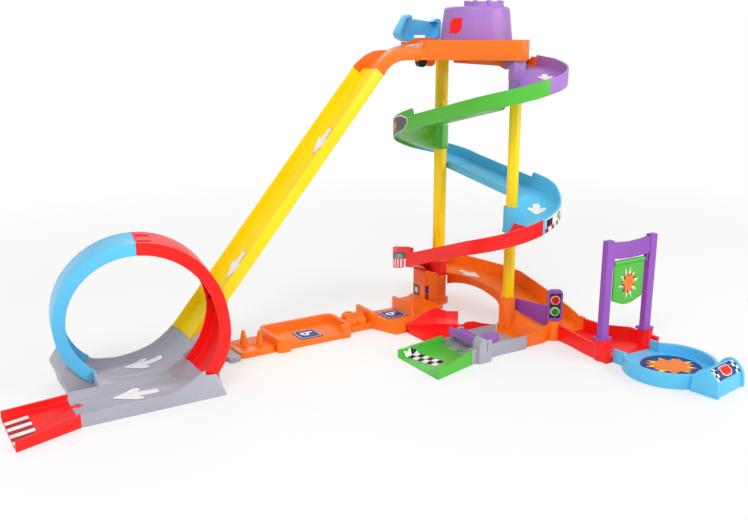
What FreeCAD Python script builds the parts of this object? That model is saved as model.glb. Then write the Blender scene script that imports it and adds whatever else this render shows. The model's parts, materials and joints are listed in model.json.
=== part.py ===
import FreeCAD, Part
import math
import os

os.makedirs("parts", exist_ok=True)
V = FreeCAD.Vector

# Toy car track: a two-column spiral tower, a steep ramp from its top into a vertical loop,
# parking bays along the strip, a diverter with a signal head, a gate with a flag and a round catcher.
# Frame: +X along the strip towards the gate, +Y away to the back, +Z up.
# The origin is on the floor at the axis of the right tower column. All sizes are in millimetres.

# Track section
LANE_W = 73.0
WALL = 2.8
FLOOR_T = 2.6
WALL_UP = 17.0
SKIRT = 7.0
LOW_Z = 8.0

# Tower: the turns are centred on the origin and COL_GAP behind it
COL_GAP = 188.0
RIGHT_X = 5.0
RIGHT_Y = -3.0
TURN_R = 84.5
LEFT_FLATS = 21.5
RIGHT_FLATS = 18.0
COLLAR_FLATS = 25.0
RED_COLLAR_FLATS = 28.4
PURPLE_COLLAR_W = 24.0
PURPLE_COLLAR_D = 16.0
FOOT_R = 17.0
FOOT_H = 9.0
SPIGOT_R = 6.6
SPIGOT_WALL = 2.2
SPIGOT_L = 12.0
SOCKET_CLEAR = 0.1
SOCKET_DEPTH_CLEAR = 0.5
EDGE_OWN = 12.2
EDGE_PASS = 16.4
EDGE_BASE = 14.8
INNER_WALL_UP = 10.0
INNER_LIP = 0.6
TURN_STEP = 7.5

Z_DECK = 443.0
Z_PURPLE_COLLAR = 378.0
Z_BLUE_COLLAR_TOP = 212.0
Z_BLUE_COLLAR = 170.0
Z_BASE_RIGHT = 59.5
Z_GREEN_COLLAR_TOP = 328.0
Z_GREEN_COLLAR = 287.0
Z_RED_COLLAR_TOP = 81.0
Z_RED_COLLAR = 55.0

# Heights of the outer wall's lower edge, down the spiral
Z_PURPLE_IN = 425.8
Z_PURPLE_BEND = 421.5
Z_PURPLE_GREEN = 394.5
Z_GREEN_FRONT = 363.0
Z_GREEN_BEND = 320.6
Z_GREEN_BLUE = 277.4
Z_BLUE_BACK = 247.0
Z_BLUE_BEND = 218.5
Z_BLUE_RED = 180.0
Z_RED_FRONT = 140.6
Z_RED_BEND = 77.0
Z_RED_BASE = 47.0

# Tower base: floor heights of the lowest stretch and the block beside the left column
Z_STRAIGHT_FLOOR = 53.0
Z_TURN_FLOOR = 36.0
BLOCK_X = -39.0
BLOCK_Y0 = COL_GAP - 12.0
BLOCK_Y1 = COL_GAP + 24.0
BLOCK_TOP = 67.0
EXIT_WALL_X = 105.0
ARCH_LEG_Y = 30.0

# Platform: a closed table on two columns, the head of the ramp and the head of the spiral
DECK_TOP = 474.0
DECK_T = 3.0
RAMP_Y = 133.4
TABLE_STEP_X = -103.0
TABLE_LEFT_X = -60.0
TABLE_BACK_Y = COL_GAP + 20.0
TABLE_BACK_X = -14.0
TABLE_CORNER_R = 18.0
SEAT_WALL = 3.4
TONGUE_L = 8.0
SPIRAL_HEAD_Y = 38.9
SLOT_X0 = 22.0
SLOT_X1 = 78.0
SLOT_Y0 = 112.0

# Drum and dial
DRUM_Y = 96.0
DRUM_R = 59.0
DRUM_TOP_R = 52.5
DRUM_H = 51.5
DRUM_RIM_R = 6.0
DRUM_WALL = 3.0
DOOR_TOP = 512.0
SCREW_R = 1.6
WHEEL_X = -89.0
WHEEL_Z = 439.0
WHEEL_R = 8.0
DIAL_X = 8.7
DIAL_Y = 89.0
DIAL_R = 33.0
DIAL_T = 8.0
DIAL_GAP = 0.4
SPINDLE_R = 5.0
RUN_CLEAR = 0.08

# Cradle behind the ramp's head, and its pin
CRADLE_X0 = -102.5
CRADLE_X1 = -12.0
CRADLE_Y = 176.0
CRADLE_DEEP = 14.0
CRADLE_WALL = 3.2
CRADLE_PIN_Y = 174.0
CRADLE_PIN_Z = 472.0
CRADLE_LUG_R = 3.4
CRADLE_LUG_X0 = -63.5
CRADLE_LUG_X1 = -34.5
CRADLE_EAR_T = 4.0
CRADLE_EAR_R = 3.6
SHELF_X0 = -84.0
SHELF_TOP = 470.4
PIN_R = 1.8

# Ramp to the loop: the wall-top line runs between these two points
RAMP_TOP_X = -191.6
RAMP_TOP_Z = 432.0
RAMP_LOW_X = -514.6
RAMP_LOW_Z = 52.3
RAMP_DEPTH = 18.0
RAMP_LANE = 12.5
RAMP_SEAM_X = -336.0

# Loop
LOOP_X = -587.7
LOOP_Z = 104.0
LOOP_R = 111.4
LOOP_RIM_R = 94.1
LOOP_MID_Y = 85.9
LOOP_DRIFT = 47.5
LOOP_BLUE_FOOT = 37.0
LOOP_RED_FOOT = 320.0

# Loop base
BASE_X0 = -697.0
BASE_X1 = -501.0
BASE_FRONT_Y = -9.0
BASE_CREST_Y = 67.0
BASE_BACK_Y = 179.0
BASE_WALL_Z = 20.0
BASE_HOOK_Y = 44.0
EXIT_RAMP_L = 83.0

# Strip with parking bays
STRIP_Y0 = 105.0
STRIP_Y1 = 176.0
PLATE_Z = 10.0
CONE_PLATE_X0 = -432.0
BAY1_X0 = -371.0
BAY1_X1 = -235.0
BAY2_X1 = -78.0
BAY2_WALL_X = -184.0
BAY2_FRONT_Y = 74.0
BAY_WALL = 6.0
BAY_WALL_H = 12.5
MOUND_Y0 = 122.0
SIGN_SIDE = 40.0
SIGN_T = 0.6
SIGN1_X = -304.0
SIGN1_Y = 129.5
SIGN2_X = -129.5
SIGN2_Y = 144.0
GREEN_RAMP_L = 78.0
CONE_H = 24.0

# Junction, gate and catcher
JUNCTION_X0 = -144.0
JUNCTION_X1 = -28.0
JUNCTION_Y0 = -90.0
JUNCTION_Y1 = -15.0
STOP_PIN_X = -103.5
STOP_PIN_Z = 24.0
HOOK_PLACES = (-30.0, -57.0)
HOUSING_X = -134.0
DIVERTER_X = 39.4
DIVERTER_Y = -78.4
DIVERTER_TIP_X = 20.0
DIVERTER_TIP_Y = -6.0
PEDESTAL_R = 9.65
JOURNAL_R = 3.0
SIGNAL_Z0 = 33.0
SIGNAL_Z1 = 84.0
SIGNAL_TURN = -36.0
GATE_Y = -185.0
GATE_X0 = 38.0
GATE_X1 = 131.0
GATE_TOP = 187.0
GATE_SEAT = 37.0
FLAG_Z = 150.0
FLAG_LOW = 82.0
FLAG_PIN_R = 1.6
DISH_X = 86.0
DISH_Y = -274.0
DISH_R = 67.0
DISH_H = 22.0
INLAY_R = 44.0
JOINT_CLEAR = 0.3


def box(x0, x1, y0, y1, z0, z1):
    return Part.makeBox(x1 - x0, y1 - y0, z1 - z0, V(x0, y0, z0))


def rod(x, y, z0, z1, r):
    return Part.makeCylinder(r, z1 - z0, V(x, y, z0))


def rod_y(x, z, y0, y1, r):
    return Part.makeCylinder(r, y1 - y0, V(x, y0, z), V(0, 1, 0))


def rod_x(y, z, x0, x1, r):
    return Part.makeCylinder(r, x1 - x0, V(x0, y, z), V(1, 0, 0))


def face(points):
    return Part.Face(Part.makePolygon(points + [points[0]]))


def plan(points, z0, z1):
    """Prism of a plan outline between two heights."""
    return face([V(x, y, z0) for x, y in points]).extrude(V(0, 0, z1 - z0))


def side(points, y0, y1):
    """Prism of an outline in X and Z between two depths."""
    return face([V(x, y0, z) for x, z in points]).extrude(V(0, y1 - y0, 0))


def end(points, x0, x1):
    """Prism of an outline in Y and Z between two places along X."""
    return face([V(x0, y, z) for y, z in points]).extrude(V(x1 - x0, 0, 0))


def join(*shapes):
    return shapes[0].multiFuse(list(shapes[1:])).removeSplitter()


def loft(sections):
    wires = [Part.makePolygon(s + [s[0]]) for s in sections]
    return Part.makeLoft(wires, True, True)


def rounded(x0, x1, y0, y1, r):
    """Plan outline of a rectangle with round corners."""
    points = []
    for cx, cy, a in ((x1 - r, y1 - r, 0), (x0 + r, y1 - r, 90), (x0 + r, y0 + r, 180), (x1 - r, y0 + r, 270)):
        for k in range(5):
            t = math.radians(a + 22.5 * k)
            points.append((cx + r * math.cos(t), cy + r * math.sin(t)))
    return points


def save(name, shape):
    solids = shape.Solids
    if len(solids) == 1:
        shape = solids[0]
    shape.exportStep("parts/%s.step" % name)
    print("%-20s solids %d  valid %s  volume %.0f" % (name, len(solids), shape.isValid(), shape.Volume))


LEFT = (0.0, COL_GAP)
RIGHT = (RIGHT_X, RIGHT_Y)
DRUM_TOP_Z = DECK_TOP + DRUM_H
LANE_Y0, LANE_Y1 = RAMP_Y - LANE_W / 2, RAMP_Y + LANE_W / 2

# Stations along the spiral's outer wall, clockwise seen from above
QUARTER = math.pi * TURN_R / 2
S_NEAR = COL_GAP
S_NEAR_MID = S_NEAR + QUARTER
S_FRONT = S_NEAR_MID + QUARTER
S_FAR = S_FRONT + COL_GAP
S_FAR_MID = S_FAR + QUARTER
S_LAP = S_FAR_MID + QUARTER


def place(s, r):
    """Plan point at station s, r outward from the line of the columns."""
    s = s % S_LAP
    if s < S_NEAR:
        return r, COL_GAP - s
    if s < S_FRONT:
        t = -(s - S_NEAR) / TURN_R
        return r * math.cos(t), r * math.sin(t)
    if s < S_FAR:
        return -r, s - S_FRONT
    t = math.pi - (s - S_FAR) / TURN_R
    return r * math.cos(t), COL_GAP + r * math.sin(t)


def between(knots, s):
    """Straight-line value at s from (station, value) knots."""
    for (s0, v0), (s1, v1) in zip(knots, knots[1:]):
        if s <= s1:
            return v0 + (v1 - v0) * max(0.0, s - s0) / (s1 - s0)
    return knots[-1][1]


def spiral(fall, wall_up, inner_up, inner_edge, outer_skirt=SKIRT):
    """Track along the spiral: each argument is a list of (station, value) knots."""
    first, last = fall[0][0], fall[-1][0]
    stations = {first, last}
    for knots in (fall, wall_up, inner_up, inner_edge):
        stations.update(s for s, value in knots if first <= s <= last)
    step = math.radians(TURN_STEP) * TURN_R
    for lap in (0, 1):
        for start in (S_NEAR, S_FAR):
            count = int(round(2 * QUARTER / step))
            for k in range(count + 1):
                s = start + 2 * QUARTER * k / count + lap * S_LAP
                if first < s < last and min(abs(s - t) for t in stations) > 1.0:
                    stations.add(s)
    sections = []
    for s in sorted(stations):
        z = between(fall, s) + SKIRT
        r0 = between(inner_edge, s)
        up, inner = between(wall_up, s), between(inner_up, s)
        outline = [
            (r0, z - FLOOR_T),
            (TURN_R - WALL, z - FLOOR_T),
            (TURN_R - WALL, z - outer_skirt),
            (TURN_R, z - outer_skirt),
            (TURN_R, z + up),
            (TURN_R - WALL, z + up),
            (TURN_R - WALL, z),
            (r0 + WALL, z),
            (r0 + WALL, z + inner),
            (r0, z + inner),
        ]
        sections.append([V(*place(s, r), h) for r, h in outline])
    return loft(sections)


def flat(value):
    return [(-S_LAP, value), (2 * S_LAP, value)]


def inner_walls(spans):
    """Inner wall height knots: full on the given straight spans, a low lip elsewhere."""
    knots = [(-S_LAP, INNER_LIP)]
    ramp = 6.0
    for s0, s1 in spans:
        knots += [(s0, INNER_LIP), (s0 + ramp, INNER_WALL_UP), (s1 - ramp, INNER_WALL_UP), (s1, INNER_LIP)]
    return knots + [(3 * S_LAP, INNER_LIP)]


def socket(column, z, up):
    """Cutter for a post's spigot, opening at z; up tells which way it goes in."""
    x, y = column
    r = SPIGOT_R + SOCKET_CLEAR
    depth = SPIGOT_L + SOCKET_DEPTH_CLEAR
    return rod(x, y, z, z + depth, r) if up else rod(x, y, z - depth, z, r)


def octagon(flats, column):
    r = flats / 2 / math.cos(math.pi / 8)
    return [(column[0] + r * math.cos(math.pi / 8 + k * math.pi / 4),
             column[1] + r * math.sin(math.pi / 8 + k * math.pi / 4)) for k in range(8)]


def collar(column, z0, z1, flats):
    """Eight-sided collar on a column, with a slightly wider band at its foot."""
    band = 5.0
    proud = 1.6
    return join(plan(octagon(flats, column), z0, z1), plan(octagon(flats + proud, column), z0, z0 + band))


def post(column, flats, z0, z1, notches):
    """Hollow eight-sided post with a round spigot at each end and shallow worn notches."""
    x, y = column
    body = plan(octagon(flats, column), z0, z1)
    body = join(body, rod(x, y, z0 - SPIGOT_L, z1 + SPIGOT_L, SPIGOT_R))
    body = body.cut(rod(x, y, z0 - SPIGOT_L - 1, z1 + SPIGOT_L + 1, SPIGOT_R - SPIGOT_WALL))
    notch_w, notch_deep = 5.2, 0.9
    for turn, z, height in notches:
        cutter = box(flats / 2 - notch_deep, flats / 2 + 2, -notch_w / 2, notch_w / 2, z, z + height)
        cutter.rotate(V(0, 0, 0), V(0, 0, 1), turn)
        cutter.translate(V(x, y, 0))
        body = body.cut(cutter)
    return body


def purple_turn():
    start = S_NEAR - SPIRAL_HEAD_Y
    track = spiral(
        [(start, Z_PURPLE_IN), (S_NEAR, Z_PURPLE_BEND), (S_NEAR_MID, Z_PURPLE_GREEN)],
        flat(WALL_UP), inner_walls([(start - 20, S_NEAR)]), flat(EDGE_OWN))
    half_w, half_d, corner = PURPLE_COLLAR_W / 2, PURPLE_COLLAR_D / 2, 2.5
    ring = (Z_PURPLE_COLLAR + Z_DECK) / 2 + 3
    slim = 0.5
    lower = plan(rounded(RIGHT_X - half_w + slim, RIGHT_X + half_w - slim, RIGHT_Y - half_d + slim,
                         RIGHT_Y + half_d - slim, corner), Z_PURPLE_COLLAR, ring)
    upper = plan(rounded(RIGHT_X - half_w, RIGHT_X + half_w, RIGHT_Y - half_d, RIGHT_Y + half_d, corner),
                 ring, Z_DECK)
    peg = rod(RIGHT_X, RIGHT_Y, Z_DECK - 1, Z_DECK + SPIGOT_L, SPIGOT_R)
    return join(track, lower, upper, peg).cut(socket(RIGHT, Z_PURPLE_COLLAR, True))


def passing_edge():
    """Inner edge of a track that clears the right column and meets its own collar on the left one."""
    return [(-S_LAP, EDGE_PASS), (S_FAR - 20, EDGE_PASS), (S_FAR - 6, EDGE_OWN), (2 * S_LAP, EDGE_OWN)]


def green_helix():
    step = 11.0
    track = spiral(
        [(S_NEAR_MID, Z_PURPLE_GREEN), (S_FRONT, Z_GREEN_FRONT), (S_FAR, Z_GREEN_BEND), (S_FAR_MID, Z_GREEN_BLUE)],
        [(0, WALL_UP), (S_FAR - 35, WALL_UP), (S_FAR - 30, WALL_UP + step), (S_FAR, WALL_UP + step - 2),
         (2 * S_LAP, WALL_UP + step - 2)],
        inner_walls([(S_FRONT, S_FAR)]), passing_edge())
    body = join(track, collar(LEFT, Z_GREEN_COLLAR, Z_GREEN_COLLAR_TOP, COLLAR_FLATS))
    return body.cut(socket(LEFT, Z_GREEN_COLLAR, True)).cut(socket(LEFT, Z_GREEN_COLLAR_TOP, False))


def blue_helix():
    raise_at = S_LAP + S_NEAR - 38
    turn = S_LAP + S_NEAR
    degree = 2 * QUARTER / 180
    step = 9.0
    edge = [(0, EDGE_OWN), (turn - 26, EDGE_OWN), (turn - 16, EDGE_PASS), (turn + 34 * degree, EDGE_PASS),
            (turn + 44 * degree, EDGE_OWN), (3 * S_LAP, EDGE_OWN)]
    track = spiral(
        [(S_FAR_MID, Z_GREEN_BLUE), (S_LAP, Z_BLUE_BACK), (turn, Z_BLUE_BEND), (S_LAP + S_NEAR_MID, Z_BLUE_RED)],
        [(0, WALL_UP), (raise_at, WALL_UP), (raise_at + 4, WALL_UP + step), (turn + 16 * degree, WALL_UP + step - 1),
         (turn + 30 * degree, WALL_UP + 3), (turn + 42 * degree, WALL_UP), (3 * S_LAP, WALL_UP)],
        inner_walls([(S_LAP, turn - 18)]), edge)
    body = join(track, collar(RIGHT, Z_BLUE_COLLAR, Z_BLUE_COLLAR_TOP, COLLAR_FLATS))
    return body.cut(socket(RIGHT, Z_BLUE_COLLAR, True)).cut(socket(RIGHT, Z_BLUE_COLLAR_TOP, False))


def red_helix():
    front_step, turn_step = 11.5, 15.5
    track = spiral(
        [(S_NEAR_MID, Z_BLUE_RED), (S_FRONT, Z_RED_FRONT), (S_FAR, Z_RED_BEND), (S_FAR_MID, Z_RED_BASE)],
        [(0, WALL_UP), (S_FAR - 31, WALL_UP), (S_FAR - 27, WALL_UP + front_step), (S_FAR, WALL_UP + turn_step),
         (2 * S_LAP, WALL_UP + turn_step)],
        inner_walls([(S_FRONT, S_FAR)]), passing_edge())
    body = join(track, collar(LEFT, Z_RED_COLLAR, Z_RED_COLLAR_TOP, RED_COLLAR_FLATS))
    return body.cut(socket(LEFT, Z_RED_COLLAR, True)).cut(socket(LEFT, Z_RED_COLLAR_TOP, False))


def base_floor(theta):
    """Floor height on the near turn of the base, theta in degrees past the straight."""
    return between([(0, Z_TURN_FLOOR), (30, 23.0), (60, 12.0), (90, LOW_Z)], theta)


def base_straight():
    """Lowest straight of the spiral: a nearly level bridge with an arched rail on its inner edge."""
    s_turn = S_LAP + S_NEAR
    level = Z_STRAIGHT_FLOOR - SKIRT
    fall = [(S_FAR_MID, Z_RED_BASE), (S_LAP, level + 0.6), (s_turn - 100, level), (s_turn - 56, level - 1.5),
            (s_turn - 20, level - 9), (s_turn, Z_TURN_FLOOR - SKIRT)]
    up = [(S_FAR_MID, WALL_UP), (S_LAP - 20, WALL_UP + 3), (S_LAP - 12, 20.0), (S_LAP + 80, 25.0),
          (s_turn - 60, 26.0), (s_turn - 20, 25.0), (s_turn, 28.0)]
    rail = [(S_FAR_MID, INNER_LIP), (S_LAP - 2, INNER_LIP), (S_LAP + 6, 1.5), (S_LAP + 47, 7.5), (S_LAP + 78, 9.5),
            (s_turn - 54, 9.5), (s_turn - 30, 9.0), (s_turn - 14, INNER_LIP)]
    edge = [(S_FAR_MID, EDGE_OWN), (S_LAP - 8, EDGE_OWN), (S_LAP - 2, EDGE_BASE), (s_turn, EDGE_BASE)]
    return spiral(fall, up, rail, edge)


def base_turn():
    """Banked floor of the last turn and its outer wall, which opens towards the gate."""
    s_turn = S_LAP + S_NEAR
    floor_t = FLOOR_T + 1.5
    inner = EDGE_OWN
    turn = []
    for k in range(13):
        theta = 90.0 * k / 12
        s = s_turn + math.radians(theta) * TURN_R
        z = base_floor(theta)
        turn.append([V(*place(s, r), h) for r, h in
                     ((inner, z - floor_t), (TURN_R, z - floor_t), (TURN_R, z), (inner, z))])
    last = 60
    exit_lane = []
    for theta in range(0, last + 1, 10):
        x = TURN_R * math.cos(math.radians(theta))
        y = -TURN_R * math.sin(math.radians(theta))
        z = base_floor(theta)
        wall_x = TURN_R + (EXIT_WALL_X - TURN_R) * (-y / TURN_R)
        top = z + 28.0 - 12.0 * theta / last
        exit_lane.append([V(px, y, pz) for px, pz in
                          ((x - 4, z - FLOOR_T), (wall_x - WALL, z - FLOOR_T), (wall_x - WALL, 0), (wall_x, 0),
                           (wall_x, top), (wall_x - WALL, top), (wall_x - WALL, z), (x - 4, z))])
    y_last = -TURN_R * math.sin(math.radians(last))
    stub = box(DIVERTER_X, EXIT_WALL_X, -TURN_R, y_last + 2, LOW_Z - FLOOR_T, LOW_Z + 1.5)
    stub_wall = box(EXIT_WALL_X - WALL - 2, EXIT_WALL_X, -TURN_R, y_last + 0.5, 0, LOW_Z + 20)
    return [loft(turn), loft(exit_lane), stub, stub_wall]


def base_exit():
    """Flat stretch from the turn to the grey junction, with its front wall round the turn."""
    run = box(JUNCTION_X1, 2, -TURN_R, -EDGE_PASS, LOW_Z - FLOOR_T, LOW_Z)
    front = box(JUNCTION_X1, 0, -TURN_R, -TURN_R + WALL, 0, LOW_Z + 14)
    back = box(JUNCTION_X1, -EDGE_PASS + 1, -EDGE_PASS - 4, -EDGE_PASS, 0, LOW_Z + 14)
    arc = []
    reach, steps = 26.0, 6
    for k in range(steps + 1):
        t = math.radians(-90 + reach * k / steps)
        top = LOW_Z + 14 + 1.6 * k
        arc.append([V(r * math.cos(t), r * math.sin(t), z) for r, z in
                    ((TURN_R - WALL, 0), (TURN_R, 0), (TURN_R, top), (TURN_R - WALL, top))])
    return [run, front, back, loft(arc)]


def base_arch():
    """Arched web under the inner rail, down to its leg."""
    under = Z_STRAIGHT_FLOOR - 1.2
    leg_y = ARCH_LEG_Y
    outline = [(4, Z_TURN_FLOOR - 1), (20, under - 9.1), (56, under - 1.6), (88, under), (COL_GAP - 8, under),
               (COL_GAP - 8, 35), (COL_GAP - 35, 43), (COL_GAP - 62, 48), (COL_GAP - 90, 49.8), (COL_GAP - 112, 48.9),
               (60, 46), (45, 42.5), (leg_y + 6, 39), (leg_y + 1, 34), (leg_y, 28), (leg_y, 0), (4, 0)]
    return end(outline, EDGE_BASE, EDGE_BASE + WALL)


def tower_base():
    block = side([(BLOCK_X, 0), (0, 0), (0, BLOCK_TOP - 16), (-14, BLOCK_TOP - 6), (BLOCK_X + 3, BLOCK_TOP),
                  (BLOCK_X, BLOCK_TOP - 2)], BLOCK_Y0, BLOCK_Y1)
    block = block.cut(rod(0, COL_GAP, Z_RED_COLLAR, BLOCK_TOP, RED_COLLAR_FLATS / 2))
    groove = box(BLOCK_X + 4, BLOCK_X + 5.6, BLOCK_Y0 - 1, BLOCK_Y0 + 1.2, 12, BLOCK_TOP - 12)
    ledge = side([(BAY2_X1, 0), (BAY2_X1, PLATE_Z), (BLOCK_X - 8, PLATE_Z + 1), (BLOCK_X + 1, PLATE_Z + 5),
                  (BLOCK_X + 1, 0)], STRIP_Y0 + 24, BLOCK_Y1 + 6)
    apron = plan([(BAY2_X1, STRIP_Y0 + 20), (-52, STRIP_Y0 + 26), (-14, COL_GAP - 36), (-14, BLOCK_Y0 + 1),
                  (BLOCK_X, BLOCK_Y0 + 1), (BAY2_X1, BLOCK_Y0)], 0, PLATE_Z)
    right = plan(octagon(COLLAR_FLATS, RIGHT), 0, Z_BASE_RIGHT)
    right_foot = rod(RIGHT_X, RIGHT_Y, 0, FOOT_H, FOOT_R)
    left = plan(octagon(RED_COLLAR_FLATS, LEFT), 0, Z_RED_COLLAR)
    left_foot = rod(0, COL_GAP, 0, FOOT_H, FOOT_R + 2)
    pedestal = rod(DIVERTER_X, DIVERTER_Y, 0, SIGNAL_Z0 - JOINT_CLEAR, PEDESTAL_R)
    outer_leg = box(TURN_R - WALL, TURN_R, 20, 60, 0, Z_STRAIGHT_FLOOR - 4)
    body = base_straight()
    parts = [base_arch(), right, right_foot, left, left_foot, block, ledge, apron, outer_leg, pedestal]
    for piece in base_turn() + base_exit() + parts:
        body = join(body, piece)
    body = body.cut(groove)
    body = body.cut(socket(RIGHT, Z_BASE_RIGHT, False)).cut(socket(LEFT, Z_RED_COLLAR, False))
    body = body.cut(red_helix())
    return body.cut(rod(DIVERTER_X, DIVERTER_Y, -1, SIGNAL_Z0 + 1, JOURNAL_R + RUN_CLEAR))


def table_outline():
    """Plan outline of the table: slanted front, round right corner and square back."""
    front_y = LANE_Y0 - 6.1
    arc = []
    first, last, steps = -137.35, -42.5, 8
    for k in range(steps + 1):
        t = math.radians(first + (last - first) * k / steps)
        arc.append((RIGHT_X + TABLE_CORNER_R * math.cos(t), TABLE_CORNER_R * math.sin(t)))
    return [(TABLE_STEP_X, LANE_Y0), (TABLE_STEP_X, front_y)] + arc + [
        (TURN_R, 60), (TURN_R, TABLE_BACK_Y - 6), (TURN_R - 8, TABLE_BACK_Y), (TABLE_BACK_X, TABLE_BACK_Y),
        (TABLE_BACK_X, LANE_Y1), (TABLE_LEFT_X, LANE_Y1), (TABLE_LEFT_X, LANE_Y0 + WALL),
        (TABLE_STEP_X, LANE_Y0 + WALL)]


def cradle_ear_places():
    """X ranges of the two ears that hold the cradle's pin, one beside each end of its lug."""
    gap = 0.5
    return [(CRADLE_LUG_X0 - gap - CRADLE_EAR_T, CRADLE_LUG_X0 - gap),
            (CRADLE_LUG_X1 + gap, CRADLE_LUG_X1 + gap + CRADLE_EAR_T)]


def cradle_shelf():
    """Shelf behind the lane that the cradle rests on, with a low front band and two pin ears."""
    depth, thick, band = CRADLE_Y + CRADLE_DEEP + 2 - LANE_Y1, 5.4, 8.5
    shelf = box(SHELF_X0, TABLE_BACK_X, LANE_Y1, LANE_Y1 + depth, SHELF_TOP - thick, SHELF_TOP)
    shelf = shelf.cut(box(SHELF_X0 - 1, TABLE_BACK_X + 1, LANE_Y1 - 1, LANE_Y1 + band,
                          SHELF_TOP - 2.6, SHELF_TOP + 1))
    ears = []
    for x0, x1 in cradle_ear_places():
        round_end = rod_x(CRADLE_PIN_Y, CRADLE_PIN_Z, x0, x1, CRADLE_EAR_R)
        stem = box(x0, x1, CRADLE_PIN_Y - CRADLE_EAR_R, CRADLE_PIN_Y + CRADLE_EAR_R, SHELF_TOP - 4, CRADLE_PIN_Z)
        ears.append(join(round_end, stem))
    return join(shelf, *ears)


def top_platform():
    """Closed table on the two columns, with the seats of the posts and the way into the spiral."""
    outline = table_outline()
    body = plan(outline, Z_DECK, DECK_TOP)
    hollow = face([V(x, y, Z_DECK - 1) for x, y in outline]).makeOffset2D(-WALL, join=2)
    body = body.cut(hollow.extrude(V(0, 0, DECK_TOP - DECK_T - Z_DECK + 1)))
    seats = [rod(x, y, Z_DECK, DECK_TOP - 1, SPIGOT_R + SEAT_WALL) for x, y in (LEFT, RIGHT)]
    body = join(body, cradle_shelf(), *seats)
    body = body.cut(box(SLOT_X0, SLOT_X1, SLOT_Y0, TABLE_BACK_Y - 5, DECK_TOP - DECK_T - 1, DECK_TOP + 1))
    body = body.cut(rod_x(CRADLE_PIN_Y, CRADLE_PIN_Z, SHELF_X0, TABLE_BACK_X, PIN_R))
    for x, y in screw_places():
        body = body.cut(rod(x, y, DECK_TOP - DECK_T - 1, DECK_TOP + 1, SCREW_R))
    return body.cut(socket(LEFT, Z_DECK, True)).cut(socket(RIGHT, Z_DECK, True))


def head_floor(drop):
    """Line of the lane's floor from the drum side down to the ramp, lowered by drop."""
    joint_x, joint_z = ramp_point(RAMP_TOP_X, RAMP_LANE + drop)
    hump = [(TABLE_LEFT_X, DECK_TOP), (-70, 470.6), (-80, 467.8), (-96, 466), (-113, 463), (-126, 458.5),
            (-139, 452.5), (-151, 446), (-163, 438), (-173, 430)]
    return [(x, z - drop) for x, z in hump] + [(joint_x, joint_z)]


def ramp_head():
    """Humped top of the lane: from the table down to the steep ramp."""
    top, foot = ramp_point(RAMP_TOP_X, 0), ramp_point(RAMP_TOP_X, RAMP_DEPTH)
    near_top = [top, (-185.4, 440.6), (-177.6, 447.7), (-167.1, 455.9), (-159.2, 459.6), (-148.6, 462.1),
                (-129.9, 462.7), (TABLE_STEP_X, 463)]
    low = [foot, (-172.3, 428.3), (-164.4, 435.3), (-156.5, 439.4), (-148.5, 442), (-135.3, Z_DECK)]
    far_top = [top, (-185.7, 438), (-177.6, 444.2), (-166.8, 451.3), (-153.1, 456.4), (-139.5, 457.9),
               (-114.3, 457.6), (-100.4, 463.8), (-89.1, 469.7), (-77.7, 474), (-63.2, 476.6), (-45.8, 477.4),
               (-28, 475.7), (-19, DECK_TOP)]
    near = side(near_top + [(TABLE_STEP_X, Z_DECK)] + low[::-1], LANE_Y0, LANE_Y0 + WALL)
    far = side(far_top + [(TABLE_LEFT_X, DECK_TOP), (TABLE_LEFT_X, Z_DECK)] + low[::-1], LANE_Y1 - WALL, LANE_Y1)
    floor = side(head_floor(0) + head_floor(FLOOR_T)[::-1], LANE_Y0 + WALL - 0.5, LANE_Y1 - WALL + 0.5)
    floor = floor.cut(side([(TABLE_STEP_X, 400), (TABLE_LEFT_X, 400), (TABLE_LEFT_X, 480), (TABLE_STEP_X, 480)],
                           LANE_Y0, LANE_Y0 + WALL))
    wedge = plan([(TABLE_STEP_X - 5.6, LANE_Y0), (TABLE_STEP_X, LANE_Y0 - 6.1), (TABLE_STEP_X, LANE_Y0 + 1)],
                 Z_DECK, 463)
    # Web under the hump with the wheel's pocket and a round boss beside it
    web = box(-98, -64, 119, 131, Z_DECK - 3, 464)
    boss = rod_y(-73, 440.5, 119, 131, 8.5)
    body = join(near, far, floor, wedge, web, boss)
    body = body.cut(rod_y(WHEEL_X, WHEEL_Z, 118, 132, WHEEL_R + JOINT_CLEAR))
    return body.cut(ramp_tongue(JOINT_CLEAR))


def trip_wheel():
    """Dark wheel half sunk under the head of the lane."""
    wheel = rod_y(WHEEL_X, WHEEL_Z, 119.4, 130.6, WHEEL_R)
    axle = rod_y(WHEEL_X, WHEEL_Z, 118.6, 131.4, 2.4)
    return join(wheel, axle)


def spiral_head():
    """Start of the spiral: a falling floor from under the drum to the purple turn."""
    y0, y1 = SPIRAL_HEAD_Y, TABLE_BACK_Y - 8
    floor_line = [(y1, 470), (130, 446), (57, 436.2), (y0, Z_PURPLE_IN + SKIRT)]
    floor = end(floor_line + [(y, z - FLOOR_T) for y, z in floor_line[::-1]], EDGE_PASS + 1, TURN_R - WALL - 0.1)
    keel = end([(y0, 427.5), (57, 433), (178, 435), (178, 462), (130, 452), (57, 446.2), (y0, 442.8)],
               EDGE_PASS + 0.4, EDGE_PASS + 0.4 + WALL)
    outer = end([(y0, 428), (62, 430.5), (121, 440.4), (121, Z_DECK), (55, Z_DECK), (52, 447), (y0, 447)],
                TURN_R - WALL, TURN_R)
    link = end([(y0, Z_PURPLE_IN + SKIRT - FLOOR_T), (y0, Z_PURPLE_IN + SKIRT), (100, 442), (100, 439.4)],
               TURN_R - WALL - 1, TURN_R - WALL + 1)
    return join(floor, keel, outer, link)


def drum_shell(grow):
    """Body of the drum, grown outwards by a margin."""
    return Part.makeCone(DRUM_R + grow, DRUM_TOP_R + grow, DRUM_H, V(0, DRUM_Y, DECK_TOP))


def screw_places():
    """Plan points of the screws that hold the drum to the table."""
    reach = DRUM_R - DRUM_WALL - 6
    angles = [math.radians(t) for t in (150, 210, 300)]
    return [(reach * math.cos(t), DRUM_Y + reach * math.sin(t)) for t in angles]


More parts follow.
